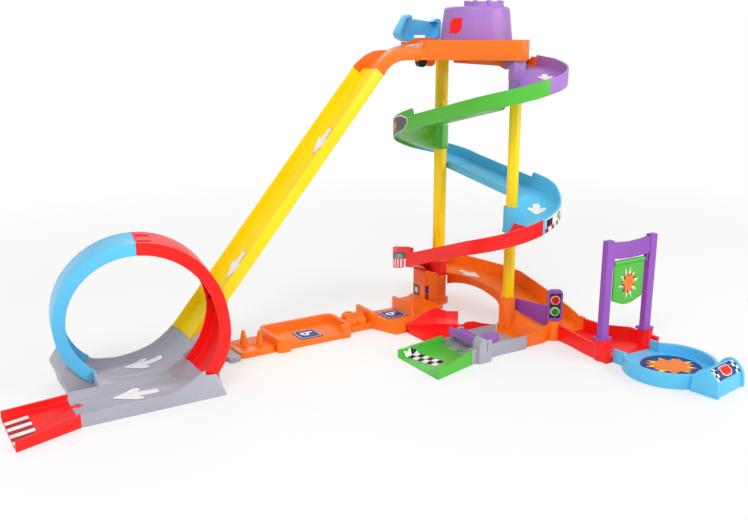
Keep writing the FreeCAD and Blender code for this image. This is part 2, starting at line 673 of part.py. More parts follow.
def launch_drum():
    body = drum_shell(0)
    rim = [e for e in body.Edges if abs(e.BoundBox.ZMin - DRUM_TOP_Z) < 0.01 and e.BoundBox.ZLength < 0.01]
    body = body.makeFillet(DRUM_RIM_R, rim)
    body = body.cut(Part.makeCone(DRUM_R - DRUM_WALL, DRUM_TOP_R - DRUM_WALL, DRUM_H - DRUM_WALL,
                                  V(0, DRUM_Y, DECK_TOP)))
    # Doorway at the back, over the way into the spiral
    body = body.cut(box(16, DRUM_R + 10, DRUM_Y + 4, DRUM_Y + DRUM_R + 5, DECK_TOP - 1, DOOR_TOP))
    guide = rod(DIAL_X, DIAL_Y, DRUM_TOP_Z - 24, DRUM_TOP_Z - 1, SPINDLE_R + 3.5)
    inside = drum_shell(-1)
    bosses = [rod(x, y, DECK_TOP, DECK_TOP + 22, SCREW_R + 3).common(inside) for x, y in screw_places()]
    body = join(body, guide, *bosses)
    for x, y in screw_places():
        body = body.cut(rod(x, y, DECK_TOP - 1, DECK_TOP + 12, SCREW_R))
    return body.cut(rod(DIAL_X, DIAL_Y, DECK_TOP, DRUM_TOP_Z + 1, SPINDLE_R + RUN_CLEAR))


def drum_dial():
    """Dial on the drum: a low cap with eight bumps, and its spindle with a clip below."""
    z0 = DRUM_TOP_Z + DIAL_GAP
    slant, bump_r, bump_drop = 3.5, 4.2, 1.2
    body = Part.makeCone(DIAL_R, DIAL_R - slant, DIAL_T - DIAL_GAP, V(DIAL_X, DIAL_Y, z0))
    for k in range(8):
        t = math.radians(22.5 + 45 * k)
        reach = DIAL_R - bump_r
        x, y = DIAL_X + reach * math.cos(t), DIAL_Y + reach * math.sin(t)
        bump = rod(x, y, z0, z0 + DIAL_T + bump_drop, bump_r)
        body = join(body, bump)
    spindle = rod(DIAL_X, DIAL_Y, DRUM_TOP_Z - 28, z0 + 1, SPINDLE_R)
    clip = rod(DIAL_X, DIAL_Y, DRUM_TOP_Z - 29, DRUM_TOP_Z - 24.6, SPINDLE_R + 1.8)
    return join(body, spindle, clip)


def drum_badge():
    """Plain badge on the drum's front: two square and two round corners, laid on its slanted wall."""
    mid_z, turn, proud = 496.0, 196.0, 1.2
    reach = DRUM_R - (DRUM_R - DRUM_TOP_R) * (mid_z - DECK_TOP) / DRUM_H
    half = 11.5
    outline = [(-half, -half), (half - 6, -half), (half, -half + 6), (half, half), (-half + 6, half),
               (-half, half - 6)]
    plate = face([V(reach - 6, y, z) for y, z in outline]).extrude(V(10, 0, 0))
    plate.rotate(V(reach, 0, 0), V(0, 1, 0), -math.degrees(math.atan2(DRUM_R - DRUM_TOP_R, DRUM_H)))
    plate.translate(V(0, 0, mid_z))
    plate.rotate(V(0, 0, 0), V(0, 0, 1), turn)
    plate.translate(V(0, DRUM_Y, 0))
    return plate.common(drum_shell(proud)).cut(drum_shell(0))


def drum_screws():
    """Screws that hold the drum to the table from below."""
    head_h, head_r, length = 2.4, 3.6, 12
    z = DECK_TOP - DECK_T
    screws = [join(rod(x, y, z - head_h, z, head_r), rod(x, y, z - 1, z + length, SCREW_R))
              for x, y in screw_places()]
    return Part.makeCompound(screws)


def launch_cradle():
    """Tray that stands behind the lane's wall, open to the lane, and tips over it about a pin."""
    y0, y1 = CRADLE_Y, CRADLE_Y + CRADLE_DEEP
    left, right = CRADLE_X0, CRADLE_X1
    outline = [(left + 17.6, 512), (left, 484.8), (left + 4.1, 476.8), (left + 16.1, 471.1), (right - 2.6, 475),
               (right - 0.1, 501.4), (right - 3, 507.4), (right - 9.6, 508.7), (right - 14, 506), (right - 18, 503.7),
               (-56, 507), (-70, 507.6), (-73, 512.5), (-77, 514.5), (-81.5, 514.4)]
    body = side(outline, y0, y1)
    room = side([(left + 18.7, 507.2), (left + 8, 484.8), (left + 11, 478.4), (left + 22.1, 474.3),
                 (right - 8, 478.6), (right - 6, 501), (right - 12, 503.5), (right - 18, 503), (right - 18, 520),
                 (-70, 520), (-71.5, 507.6), (-76, 509.6)], y0 - 1, y1 - CRADLE_WALL)
    body = body.cut(room)
    body = body.cut(box(-61, -36, y1 - CRADLE_WALL - 1, y1 + 1, 477.4, 481.4))
    lug = join(rod_x(CRADLE_PIN_Y, CRADLE_PIN_Z, CRADLE_LUG_X0, CRADLE_LUG_X1, CRADLE_LUG_R),
               box(CRADLE_LUG_X0, CRADLE_LUG_X1, CRADLE_PIN_Y, CRADLE_PIN_Y + 7,
                   CRADLE_PIN_Z, CRADLE_PIN_Z + CRADLE_LUG_R))
    body = join(body, lug)
    for x0, x1 in cradle_ear_places():
        body = body.cut(rod_x(CRADLE_PIN_Y, CRADLE_PIN_Z, x0 - 0.5, x1 + 0.5, CRADLE_EAR_R + 0.5))
    return body.cut(rod_x(CRADLE_PIN_Y, CRADLE_PIN_Z, CRADLE_LUG_X0 - 1, CRADLE_LUG_X1 + 1, PIN_R + RUN_CLEAR))


def cradle_pin():
    ears = cradle_ear_places()
    return rod_x(CRADLE_PIN_Y, CRADLE_PIN_Z, ears[0][0], ears[1][1], PIN_R)


# Ramp directions: along the slope downwards, and up from its floor
SLOPE = math.atan2(RAMP_TOP_Z - RAMP_LOW_Z, RAMP_TOP_X - RAMP_LOW_X)
UP_X, UP_Z = -math.sin(SLOPE), math.cos(SLOPE)


def ramp_point(x, depth):
    """Point below the wall-top line at x, measured square to the slope."""
    z = RAMP_LOW_Z + (x - RAMP_LOW_X) * math.tan(SLOPE)
    return x - UP_X * depth, z - UP_Z * depth


def ramp_piece(x_top, x_low):
    """Length of the ramp: two walls, the floor between them and ribs across its underside."""
    under = RAMP_LANE + FLOOR_T
    end_rim, rib_t = 5.0, 2.4

    def slab(top, bottom, extra):
        c, s = math.cos(SLOPE) * extra, math.sin(SLOPE) * extra
        a, b = ramp_point(x_top, top), ramp_point(x_top, bottom)
        d, e = ramp_point(x_low, top), ramp_point(x_low, bottom)
        return [(a[0] + c, a[1] + s), (b[0] + c, b[1] + s), (e[0] - c, e[1] - s), (d[0] - c, d[1] - s)]

    body = side(slab(0, RAMP_DEPTH, 0), LANE_Y0, LANE_Y1)
    body = body.cut(side(slab(-5, RAMP_LANE, 5), LANE_Y0 + WALL, LANE_Y1 - WALL))
    body = body.cut(side(slab(under, RAMP_DEPTH + 5, -end_rim), LANE_Y0 + WALL, LANE_Y1 - WALL))
    ribs = []
    for k in range(1, 4):
        x = x_low + (x_top - x_low) * k / 4
        a, b = ramp_point(x, under - 1), ramp_point(x, RAMP_DEPTH - 0.5)
        c, s = math.cos(SLOPE) * rib_t / 2, math.sin(SLOPE) * rib_t / 2
        ribs.append(side([(a[0] - c, a[1] - s), (a[0] + c, a[1] + s), (b[0] + c, b[1] + s), (b[0] - c, b[1] - s)],
                         LANE_Y0 + 1, LANE_Y1 - 1))
    return join(body, *ribs)


def ramp_tongue(grow):
    """Tongue of the ramp's floor that laps into the head's floor, grown by a margin."""
    back, inset = 4.0, 8.0
    a, b = ramp_point(RAMP_TOP_X, RAMP_LANE - 8 * grow), ramp_point(RAMP_TOP_X, RAMP_LANE + FLOOR_T + 8 * grow)
    c0, s0 = math.cos(SLOPE) * back, math.sin(SLOPE) * back
    c1, s1 = math.cos(SLOPE) * (TONGUE_L + grow), math.sin(SLOPE) * (TONGUE_L + grow)
    return side([(a[0] - c0, a[1] - s0), (b[0] - c0, b[1] - s0), (b[0] + c1, b[1] + s1), (a[0] + c1, a[1] + s1)],
                LANE_Y0 + inset - grow, LANE_Y1 - inset + grow)


def ramp_upper():
    return join(ramp_piece(RAMP_TOP_X, RAMP_SEAM_X), ramp_tongue(0))


def ramp_lower():
    return ramp_piece(RAMP_SEAM_X, RAMP_LOW_X)


def loop_y(phi):
    return LOOP_MID_Y + LOOP_DRIFT * math.cos(math.radians(phi / 2))


def loop_yaw(phi):
    """Angle of the loop's cross direction away from Y, square to the heading."""
    rise = LOOP_DRIFT / 2 * math.sin(math.radians(phi / 2))
    yaw = math.atan2(rise, LOOP_R)
    return yaw if phi < 270 else yaw - 2 * yaw * (phi - 270) / 60


def loop_section(phi, outline):
    """Points of a section given as (sideways, radius) pairs at angle phi from the bottom."""
    t = math.radians(phi)
    g = loop_yaw(phi)
    points = []
    for across, radius in outline:
        points.append(V(LOOP_X - radius * math.sin(t) + across * math.sin(g), loop_y(phi) + across * math.cos(g),
                        LOOP_Z - radius * math.cos(t)))
    return points


def loop_half(start, stop):
    half = LANE_W / 2
    outline = [(-half, LOOP_R), (half, LOOP_R), (half, LOOP_RIM_R), (half - WALL, LOOP_RIM_R),
               (half - WALL, LOOP_R - FLOOR_T), (-half + WALL, LOOP_R - FLOOR_T),
               (-half + WALL, LOOP_RIM_R), (-half, LOOP_RIM_R)]
    count = int(round(abs(stop - start) / TURN_STEP))
    return loft([loop_section(start + (stop - start) * k / count, outline) for k in range(count + 1)])


def clip_tab(phi0, phi1, radius, across):
    """Short plate on the outside of the ring, over the joint of the two halves."""
    outline = [(across - 9, radius), (across + 9, radius), (across + 9, radius + 2.4), (across - 9, radius + 2.4)]
    return loft([loop_section(phi0 + (phi1 - phi0) * k / 4, outline) for k in range(5)])


def loop_half_blue():
    return loop_half(LOOP_BLUE_FOOT, 180.0)


def loop_half_red():
    tabs = [clip_tab(181.0, 190.0, LOOP_R - 0.6, across) for across in (-18, 18)]
    return join(loop_half(180.0, LOOP_RED_FOOT), *tabs)


def back_floor(x):
    """Floor height of the lane from the ramp into the loop: round at both ends, flat between."""
    if x < LOOP_X:
        return max(LOW_Z, LOOP_Z - math.sqrt((LOOP_R - FLOOR_T) ** 2 - (x - LOOP_X) ** 2))
    run_x, run_z = ramp_point(RAMP_LOW_X, RAMP_LANE)
    bend_r = (run_z - LOW_Z) / (1 - math.cos(SLOPE))
    bend_x = run_x - bend_r * math.sin(SLOPE)
    if x > run_x:
        return run_z + (x - run_x) * math.tan(SLOPE)
    return LOW_Z + bend_r - math.sqrt(bend_r ** 2 - max(0.0, x - bend_x) ** 2)


def front_floor(x):
    """Floor height of the lane out of the loop, round up to the red half's foot."""
    if x < LOOP_X:
        return LOW_Z
    return max(LOW_Z, LOOP_Z - math.sqrt((LOOP_R - FLOOR_T) ** 2 - (x - LOOP_X) ** 2))


def base_section(x, whole):
    """Section of the loop base at x: the front lane, and the back lane too when whole."""
    u = (x - LOOP_X) / LOOP_R
    floor = front_floor(x)
    wall_y = BASE_FRONT_Y + between([(-0.11, 3), (0.13, 4), (0.24, 6), (0.44, 9), (0.55, 13), (0.8, 21)], u)
    wall_z = between([(-1, 17), (-0.48, 19.3), (-0.03, 17.5), (0.13, 19.3), (0.24, 23.2), (0.44, 32.4), (0.55, 39),
                      (0.8, 55)], u)
    crest_y = BASE_CREST_Y + between([(0.03, 0), (0.25, 2), (0.31, 5), (0.46, 8), (0.57, 11), (0.8, 16)], u)
    crest_z = BASE_WALL_Z + between([(0.03, 0), (0.25, 3), (0.31, 7.5), (0.46, 13), (0.57, 19), (0.8, 32)], u)
    up, crest_up = wall_z - floor, crest_z - floor
    outline = [
        (BASE_FRONT_Y, 0), (wall_y - WALL, wall_z), (wall_y, wall_z), (wall_y + 0.8, floor + 0.5 * up),
        (wall_y + 3, floor + 0.17 * up), (wall_y + 9, floor), (crest_y - 14, floor),
        (crest_y - 7, floor + 0.15 * crest_up),
        (crest_y - 3, floor + 0.5 * crest_up), (crest_y - 1.2, floor + 0.93 * crest_up), (crest_y, crest_z),
    ]
    if not whole:
        return [V(x, y, z) for y, z in outline + [(crest_y + WALL, crest_z - 1), (crest_y + WALL, 0)]]
    floor = back_floor(x)
    near_up = between([(-0.62, 17), (-0.5, 15.3), (-0.425, 12.9), (-0.34, 10), (-0.245, 7.5), (-0.04, 6.7),
                       (0.07, 7.7), (0.27, 9.3), (0.37, 9.5), (0.48, 11.3), (0.59, 15.2), (0.7, 18.8), (0.8, 19.3)], u)
    far_up = between([(-0.62, 20), (-0.5, 16.5), (-0.34, 12.8), (-0.146, 10.3), (-0.04, 11), (0.07, 12.3),
                      (0.17, 13.6), (0.37, 14.9), (0.48, 16.5), (0.7, 18.8), (0.8, 19.3)], u)
    y0, y1 = LANE_Y0 + WALL, LANE_Y1 - WALL
    outline += [
        (LANE_Y0 - 3, floor + near_up - 1.2), (LANE_Y0 + 0.6, floor + near_up), (y0 - 0.6, floor + near_up),
        (y0 + 0.6, floor + 0.5 * near_up), (y0 + 3, floor + 0.17 * near_up), (y0 + 9, floor), (y1 - 9, floor),
        (y1 - 3, floor + 0.17 * far_up), (y1 - 0.6, floor + 0.5 * far_up), (y1, floor + far_up),
        (LANE_Y1, floor + far_up), (LANE_Y1 + 2, floor), (BASE_BACK_Y, 3), (BASE_BACK_Y, 0),
    ]
    return [V(x, y, z) for y, z in outline]


def ring_point(phi, radius):
    """Point on a circle about the loop's axis, phi in degrees from the bottom towards the blue half."""
    t = math.radians(phi)
    return LOOP_X - radius * math.sin(t), LOOP_Z - radius * math.cos(t)


def loop_base():
    places = [LOOP_X + u * LOOP_R for u in (-0.605, -0.55, -0.49, -0.42, -0.34, -0.25, -0.15, -0.04, 0.07, 0.17, 0.27,
                                            0.375, 0.48, 0.59, 0.69)] + [BASE_X1]
    body = loft([base_section(x, True) for x in places])
    body = join(body, loft([base_section(x, False) for x in (BASE_X0, places[0])]))
    # Everything past the ends of the two ring halves and of the ramp
    blue, red = LOOP_BLUE_FOOT, LOOP_RED_FOOT - 360
    left = [ring_point(blue, 60), ring_point(blue, LOOP_R), ring_point(blue + 10, LOOP_R),
            ring_point(blue + 30, LOOP_R), (LOOP_X - 140, LOOP_Z), (LOOP_X - 60, LOOP_Z)]
    body = body.cut(side(left, LANE_Y0 - 5, LANE_Y1 + 12))
    right = [ring_point(red, 60), ring_point(red, LOOP_R), ring_point(red - 8, LOOP_R), ring_point(red - 30, LOOP_R),
             (LOOP_X + 120, LOOP_Z + 20), (LOOP_X + 40, LOOP_Z + 20)]
    body = body.cut(side(right, BASE_FRONT_Y + 10, BASE_CREST_Y + 14))
    face_end = [(BASE_X1 + 5, -1), (BASE_X1, 0.8), (BASE_X1 - 5.6, 21.5), (BASE_X1 - 10.6, 29.9), (BASE_X1 - 25, 31.2),
                (BASE_X1 - 28, 46), (BASE_X1 - 28, 90), (BASE_X1 + 5, 90)]
    body = body.cut(side(face_end, BASE_FRONT_Y - 1, BASE_FRONT_Y + 24))
    top, low = ramp_point(RAMP_LOW_X, -20), ramp_point(RAMP_LOW_X, RAMP_DEPTH)
    body = body.cut(side([top, low, (low[0] + 10, low[1]), (low[0] + 10, top[1] + 20), (top[0], top[1] + 20)],
                         LANE_Y0 - 6, BASE_BACK_Y + 1))
    # Horn behind the blue half's foot
    horn = side([(LOOP_X - 0.9 * LOOP_R, 0), (LOOP_X - 0.915 * LOOP_R, 10.4), (LOOP_X - 0.975 * LOOP_R, 29.2),
                 (LOOP_X - 0.978 * LOOP_R, 33.9)] + [ring_point(phi, LOOP_R + 0.6) for phi in (61, 55, 49, 43, blue)]
                + [(places[0] + 1, 0)], LANE_Y0, LANE_Y1)
    body = join(body, horn)
    # Open underneath
    roof = LOW_Z - FLOOR_T
    body = body.cut(box(BASE_X0 + WALL, BASE_X1 - WALL - 8, BASE_FRONT_Y + WALL + 1, BASE_CREST_Y - WALL, -1, roof))
    body = body.cut(box(places[0] - 20, BASE_X1 - WALL, BASE_CREST_Y + WALL + 2, BASE_BACK_Y - WALL, -1, roof))
    slope_under = [(x, back_floor(x) - FLOOR_T - 1) for x in places[9:-1]]
    body = body.cut(side([(places[9], -1)] + slope_under + [(places[-2], -1)], LANE_Y0, LANE_Y1 - WALL))
    body = body.cut(loop_half_blue()).cut(loop_half_red())
    return body.cut(puzzle(BASE_X0, BASE_HOOK_Y, 1, JOINT_CLEAR, -1, LOW_Z + 1))


def puzzle(x, y, way, clear, z0, z1):
    """Arrow-headed tab that hooks two tracks together, pointing along X from x."""
    neck, head, reach = 4.0 + clear, 9.0 + clear, 16.0 + clear
    points = [(x - way * (clear + 0.01), y - neck), (x + way * 6, y - neck), (x + way * 6, y - head),
              (x + way * reach, y), (x + way * 6, y + head), (x + way * 6, y + neck),
              (x - way * (clear + 0.01), y + neck)]
    return plan(points, z0, z1)


def exit_ramp(x_foot, x_top, foot_y, top_y, wall_z, hook_y):
    """Walled ramp from lane height to the floor; foot_y and top_y are its Y ranges at the two ends."""
    foot_z, foot_floor, rim = 13.0, 1.6, 4.0
    solid, lane = [], []
    for x, (y0, y1), z, floor in ((x_top, top_y, wall_z, LOW_Z), (x_foot, foot_y, foot_z, foot_floor)):
        solid.append([V(x, y0, 0), V(x, y1, 0), V(x, y1, z), V(x, y0, z)])
        past = x + 1 if x == x_top else x - 1
        a, b = y0 + rim, y1 - rim
        low, high = floor + 1.6, floor + 6
        lane.append([V(past, a + 5, floor), V(past, b - 5, floor), V(past, b - 1.5, low), V(past, b, high),
                     V(past, b, 60), V(past, a, 60), V(past, a, high), V(past, a + 1.5, low)])
    body = loft(solid).cut(loft(lane))
    body = body.cut(box(x_top - 38, x_top - WALL, top_y[0] + 6, top_y[1] - 6, -1, foot_floor + 0.6))
    hooks = [puzzle(x_top, y, 1, 0.0, LOW_Z - FLOOR_T, LOW_Z) for y in hook_y]
    return join(body, *hooks)


def loop_exit_ramp():
    """Red ramp from the front lane down to the floor, widening towards its foot."""
    return exit_ramp(BASE_X0 - EXIT_RAMP_L, BASE_X0, (BASE_FRONT_Y - 28, BASE_CREST_Y + 2),
                     (BASE_FRONT_Y, BASE_CREST_Y), BASE_WALL_Z - 2, [BASE_HOOK_Y])


def link_stub():
    plate = plan([(-452, 97), (-436, 97), (CONE_PLATE_X0, 101), (CONE_PLATE_X0, 140), (-436, 140), (-452, 134)],
                 0, LOW_Z)
    foot = box(BASE_X1, -452, 108, 128, 0, LOW_Z)
    return join(plate, foot)


def cone_plate():
    plate = plan(rounded(CONE_PLATE_X0, BAY1_X0, STRIP_Y0, STRIP_Y1 - 10, 6), 0, PLATE_Z)
    return plate.cut(box(CONE_PLATE_X0 + WALL, BAY1_X0 - WALL, STRIP_Y0 + WALL, STRIP_Y1 - 10 - WALL, -1,
                         PLATE_Z - FLOOR_T))


def traffic_cones():
    """Two cones on the plate, each with a thin square foot."""
    half, base_r, tip_r, foot_t = 9.0, 6.8, 2.4, 1.4
    cones = []
    for x, y in ((-412, 138), (-390, 125.5)):
        foot = box(x - half, x + half, y - half, y + half, PLATE_Z, PLATE_Z + foot_t)
        cones.append(join(foot, Part.makeCone(base_r, tip_r, CONE_H - foot_t, V(x, y, PLATE_Z + foot_t))))
    return Part.makeCompound(cones)


def parking_bay_1():
    """Tray with thick round-cornered walls, open along the middle of its front."""
    x0, x1, y0, y1 = BAY1_X0, BAY1_X1, STRIP_Y0, STRIP_Y1
    top = PLATE_Z + BAY_WALL_H
    corner, bulge = 13.0, 9.0
    plate = plan(rounded(x0, x1, y0, y1, corner), 0, PLATE_Z)
    ring = plan(rounded(x0, x1, y0, y1, corner), PLATE_Z - 1, top)
    inside = rounded(x0 + BAY_WALL, x1 - BAY_WALL, y0 - 30, y1 - BAY_WALL, corner - 4)
    ring = ring.cut(plan(inside, PLATE_Z, top + 1))
    # Thick front corners beside the opening
    left = plan(rounded(x0, x0 + 24, y0 - bulge, y0 + 14, 7), 0, top)
    right = plan(rounded(x1 - 18, x1, y0 - 2, y0 + 14, 5), 0, top)
    left = left.cut(plan(rounded(x0 + BAY_WALL, x0 + 50, y0 + 2, y0 + 40, 8), PLATE_Z, top + 1))
    right = right.cut(plan(rounded(x1 - 50, x1 - BAY_WALL, y0 + 4, y0 + 40, 6), PLATE_Z, top + 1))
    body = join(plate, ring, left, right)
    return body.cut(box(x0 + 12, x1 - 10, y0 + WALL, y1 - WALL - 3, -1, PLATE_Z - FLOOR_T))


def parking_bay_2():
    """Open plate between two upright walls, with the lower plate of the tyre heap on its left."""
    x0, x1 = BAY1_X1, BAY2_X1
    wall = BAY2_WALL_X
    heap = plan([(x0, MOUND_Y0), (wall + 1, MOUND_Y0), (wall + 1, STRIP_Y1), (x0, STRIP_Y1)], 0, PLATE_Z)
    plate = plan([(wall, MOUND_Y0 - 2), (wall + 17, BAY2_FRONT_Y), (-147, BAY2_FRONT_Y), (-147, 82), (-98, 82),
                  (x1, 100), (x1, STRIP_Y1), (wall, STRIP_Y1)], 0, PLATE_Z)
    plate = plate.cut(box(wall + 14, x1 - WALL, STRIP_Y0 + WALL, STRIP_Y1 - WALL, -1, PLATE_Z - FLOOR_T))
    heap = heap.cut(box(x0 + WALL, wall - WALL, MOUND_Y0 + WALL, STRIP_Y1 - WALL, -1, PLATE_Z - FLOOR_T))
    side_wall = end([(BAY2_FRONT_Y + 40, PLATE_Z - 1), (BAY2_FRONT_Y + 40, 24), (130, 28), (STRIP_Y1, 28),
                     (STRIP_Y1, PLATE_Z - 1)], wall, wall + BAY_WALL)
    bend = plan([(wall, BAY2_FRONT_Y + 48), (wall + 17, BAY2_FRONT_Y), (wall + 20, BAY2_FRONT_Y + BAY_WALL),
                 (wall + BAY_WALL, BAY2_FRONT_Y + 48)], PLATE_Z - 1, 22)
    lip = plan(rounded(wall + 16, -147, BAY2_FRONT_Y, BAY2_FRONT_Y + BAY_WALL, 2.9), PLATE_Z - 1, 20)
    fin_x = SIGN2_X + SIGN_SIDE / 2 + 0.4
    fin = end([(112, PLATE_Z - 1), (120, 28), (130, 31), (STRIP_Y1, 31), (STRIP_Y1, PLATE_Z - 1)], fin_x, fin_x + 5)
    return join(heap, plate, side_wall, bend, lip, fin)


def tyre_mounds():
    """Moulded heap of round tyres beside the second bay."""
    mounds = []
    for x, y, r, h in ((-213, 153, 12, 15), (-196, 148, 11, 14), (-217, 136, 11, 11.5), (-200, 134, 11, 11.5)):
        tyre = join(rod(x, y, PLATE_Z, PLATE_Z + h - 4, r), Part.makeCone(r, r - 4, 4, V(x, y, PLATE_Z + h - 4)))
        mounds.append(tyre.cut(rod(x, y, PLATE_Z + h - 2, PLATE_Z + h + 1, r - 7)))
    return join(*mounds)


def parking_sign(x, y):
    half = SIGN_SIDE / 2
    return plan(rounded(x - half, x + half, y - half, y + half, 3), PLATE_Z, PLATE_Z + SIGN_T)


def curve_track():
    """Red track that turns from the junction back to the tower's foot, with a high outer wall."""
    outer = [(-146, 24), (-112, JUNCTION_Y1), (-35, JUNCTION_Y1), (-38, 18), (-58, 44), (-92, 74), (-120, 81),
             (-146, 81)]
    inner = [(-142, 27), (-110, JUNCTION_Y1 + 3), (-39, JUNCTION_Y1 + 3), (-42, 16), (-62, 42), (-94, 70),
             (-120, 77), (-142, 77)]
    plate = plan(outer, 0, LOW_Z).cut(plan(inner, -1, LOW_Z - FLOOR_T))
    # Crest of the outer wall, round the back and down to its right end
    crest = [(-150, 79, 13), (-128, 77, 19), (-116, 75.5, 26), (-108, 73, 30), (-92, 67, 36.5), (-76, 56, 30.5),
             (-62.5, 43.5, 31.5)]
    sections = []
    for k, (x, y, z) in enumerate(crest):
        x0, y0 = crest[max(0, k - 1)][:2]
        x1, y1 = crest[min(len(crest) - 1, k + 1)][:2]
        length = math.hypot(x1 - x0, y1 - y0)
        nx, ny = (y1 - y0) / length, -(x1 - x0) / length
        rise = z - LOW_Z
        profile = [(16, LOW_Z - 1), (16, LOW_Z), (9, LOW_Z + 0.12 * rise), (4, LOW_Z + 0.45 * rise),
                   (1.2, z - 0.6), (0.4, z), (-1.6, z), (-3, LOW_Z - 1)]
        sections.append([V(x + nx * r, y + ny * r, h) for r, h in profile])
    wall = loft(sections).cut(box(-170, -146, 0, 100, 0, 60))
    hump = side([(-138, LOW_Z - 1), (-132, 17), (-120, 22), (-101, 29), (-88, 33.5), (-73, 32), (-57, 26), (-38, 21),
                 (-36, LOW_Z - 1)], JUNCTION_Y1, JUNCTION_Y1 + 3.6)
    hump = hump.common(box(-112, 0, -20, 20, 0, 60))
    return join(plate, wall, hump)


def junction_track():
    """Grey lane between the green ramp and the tower, with the housing of the stop plate on its front wall."""
    x0, x1, y0, y1 = JUNCTION_X0, JUNCTION_X1 - 0.02, JUNCTION_Y0, JUNCTION_Y1
    wall, lobe_y, step_y = 4.0, 14.0, 9.0
    body = box(x0, x1, y0, y1, 0, LOW_Z)
    body = body.cut(box(x0 + WALL, x1 - WALL, y0 + WALL, y1 - WALL, -1, LOW_Z - FLOOR_T))
    front = box(x0, x1, y0, y0 + wall, 0, LOW_Z + 14)
    rear = side([(x0 + 1, 0), (x0 + 1, LOW_Z + 7), (STOP_PIN_X - 6, LOW_Z + 8), (STOP_PIN_X - 4, LOW_Z + 13),
                 (x1 - 4, LOW_Z + 13), (x1 - 4, 0)], y1 - wall, y1)
    # Housing of two rounded lobes with a slot between them, and a low step beside it
    hx = HOUSING_X
    tall = side([(hx, 0), (hx, 30), (hx + 2.5, 37), (hx + 7, 40), (hx + 12, 38), (hx + 14.4, 32), (hx + 14.4, 0)],
                y0 - lobe_y, y0 + wall - 1)
    low = side([(hx + 14, 0), (hx + 14, 29), (hx + 18, 31), (hx + 22, 27), (hx + 23.5, 20), (hx + 23.5, 0)],
               y0 - lobe_y, y0 + wall - 1)
    step = box(x0, hx + 1, y0 - step_y, y0 + 1, 0, LOW_Z + 15)
    body = join(body, front, rear, tall, low, step)
    ear_w = 5.0
    ears = [box(STOP_PIN_X - ear_w, STOP_PIN_X + ear_w, y, y + wall, LOW_Z, STOP_PIN_Z + ear_w)
            for y in (y0, y1 - wall)]
    body = join(body, *ears)
    for hook_y in HOOK_PLACES:
        body = body.cut(puzzle(x0, hook_y, 1, JOINT_CLEAR, -1, LOW_Z + 1))
    groove = box(hx + 14.4, hx + 16.2, y0 - lobe_y - 1, y0 - 4, 19, 42)
    return body.cut(groove).cut(rod_y(STOP_PIN_X, STOP_PIN_Z, y0 - 0.5, y1 - 1.5, PIN_R))


def stop_gate():
    """Rocker across the lane: a stop plate on one side of the hinge and a paddle on the other."""
    side_gap, tube_r, plate_t = 4.5, 4.0, 3.0
    y0, y1 = JUNCTION_Y0 + side_gap, JUNCTION_Y1 - side_gap
    tube = rod_y(STOP_PIN_X, STOP_PIN_Z, y0, y1, tube_r)
    x = STOP_PIN_X - 22
    plate = side([(x - plate_t, 22), (x, 20.5), (STOP_PIN_X, STOP_PIN_Z - 2), (STOP_PIN_X, STOP_PIN_Z + 2), (x, 25),
                  (x, 35), (x - plate_t, 35)], y0, y1)
    mid = JUNCTION_Y0 + 20
    reach, disc_r = 17.0, 14.5
    paddle = rod(STOP_PIN_X + reach, mid, STOP_PIN_Z - 1.5, STOP_PIN_Z + 3.5, disc_r)
    paddle = paddle.common(box(STOP_PIN_X, STOP_PIN_X + 60, y0, y1, 0, 60))
    body = join(tube, plate, paddle)
    return body.cut(rod_y(STOP_PIN_X, STOP_PIN_Z, y0 - 1, y1 + 1, PIN_R + RUN_CLEAR))


def stop_gate_pin():
    return rod_y(STOP_PIN_X, STOP_PIN_Z, JUNCTION_Y0 - 0.5, JUNCTION_Y1 - 1.5, PIN_R)


def green_exit_ramp():
    """Green ramp from the junction down to the floor, widening towards its foot."""
    return exit_ramp(JUNCTION_X0 - GREEN_RAMP_L, JUNCTION_X0, (JUNCTION_Y0 - 30, JUNCTION_Y1 + 1),
                     (JUNCTION_Y0 - 9, JUNCTION_Y1 - 7), LOW_Z + 16, HOOK_PLACES)


def diverter_body():
    """Swinging arm on the pedestal, with its journal in the bore and a neck inside the signal head."""
    dx, dy = DIVERTER_TIP_X - DIVERTER_X, DIVERTER_TIP_Y - DIVERTER_Y
    length = math.hypot(dx, dy)
    root, thick = PEDESTAL_R + 0.55, 3.0
    low_root, low_tip, top, over = 18.0, 35.0, 54.0, SIGNAL_Z0 + 0.3
    blade = face([V(root, 0, low_root), V(length, 0, low_tip), V(length, 0, top), V(0, 0, top), V(0, 0, over),
                  V(root, 0, over)])
    arm = blade.extrude(V(0, thick, 0))
    arm.translate(V(0, -thick / 2, 0))
    arm.rotate(V(0, 0, 0), V(0, 0, 1), math.degrees(math.atan2(dy, dx)))
    arm.translate(V(DIVERTER_X, DIVERTER_Y, 0))
    journal = rod(DIVERTER_X, DIVERTER_Y, 1.0, SIGNAL_Z0 + 12, JOURNAL_R)
    return join(arm, journal)


def signal_parts():
    """Signal head, its black face and two lamps, facing the camera side."""
    z0, z1 = SIGNAL_Z0, SIGNAL_Z1
    half_w, half_d, corner, rim = 11.9, 5.0, 6.0, 3.2
    pocket_y, dark_t, inset = 3.4, 1.2, 5.0
    head = side(rounded(-half_w, half_w, z0, z1, corner), -half_d, half_d)
    head = head.cut(box(-half_w + rim, half_w - rim, -half_d - 1, -pocket_y, z0 + inset, z1 - inset))
    dark = box(-half_w + rim, half_w - rim, -pocket_y - dark_t, -pocket_y, z0 + inset, z1 - inset)
    lamps = [Part.makeCylinder(6.6, 1.6, V(0, -pocket_y - dark_t, z), V(0, -1, 0)) for z in (z1 - 16, z0 + 16)]
    parts = [head, dark] + lamps
    for part in parts:
        part.rotate(V(0, 0, 0), V(0, 0, 1), SIGNAL_TURN)
        part.translate(V(DIVERTER_X, DIVERTER_Y, 0))
    parts[0] = parts[0].cut(diverter_body())
    return parts


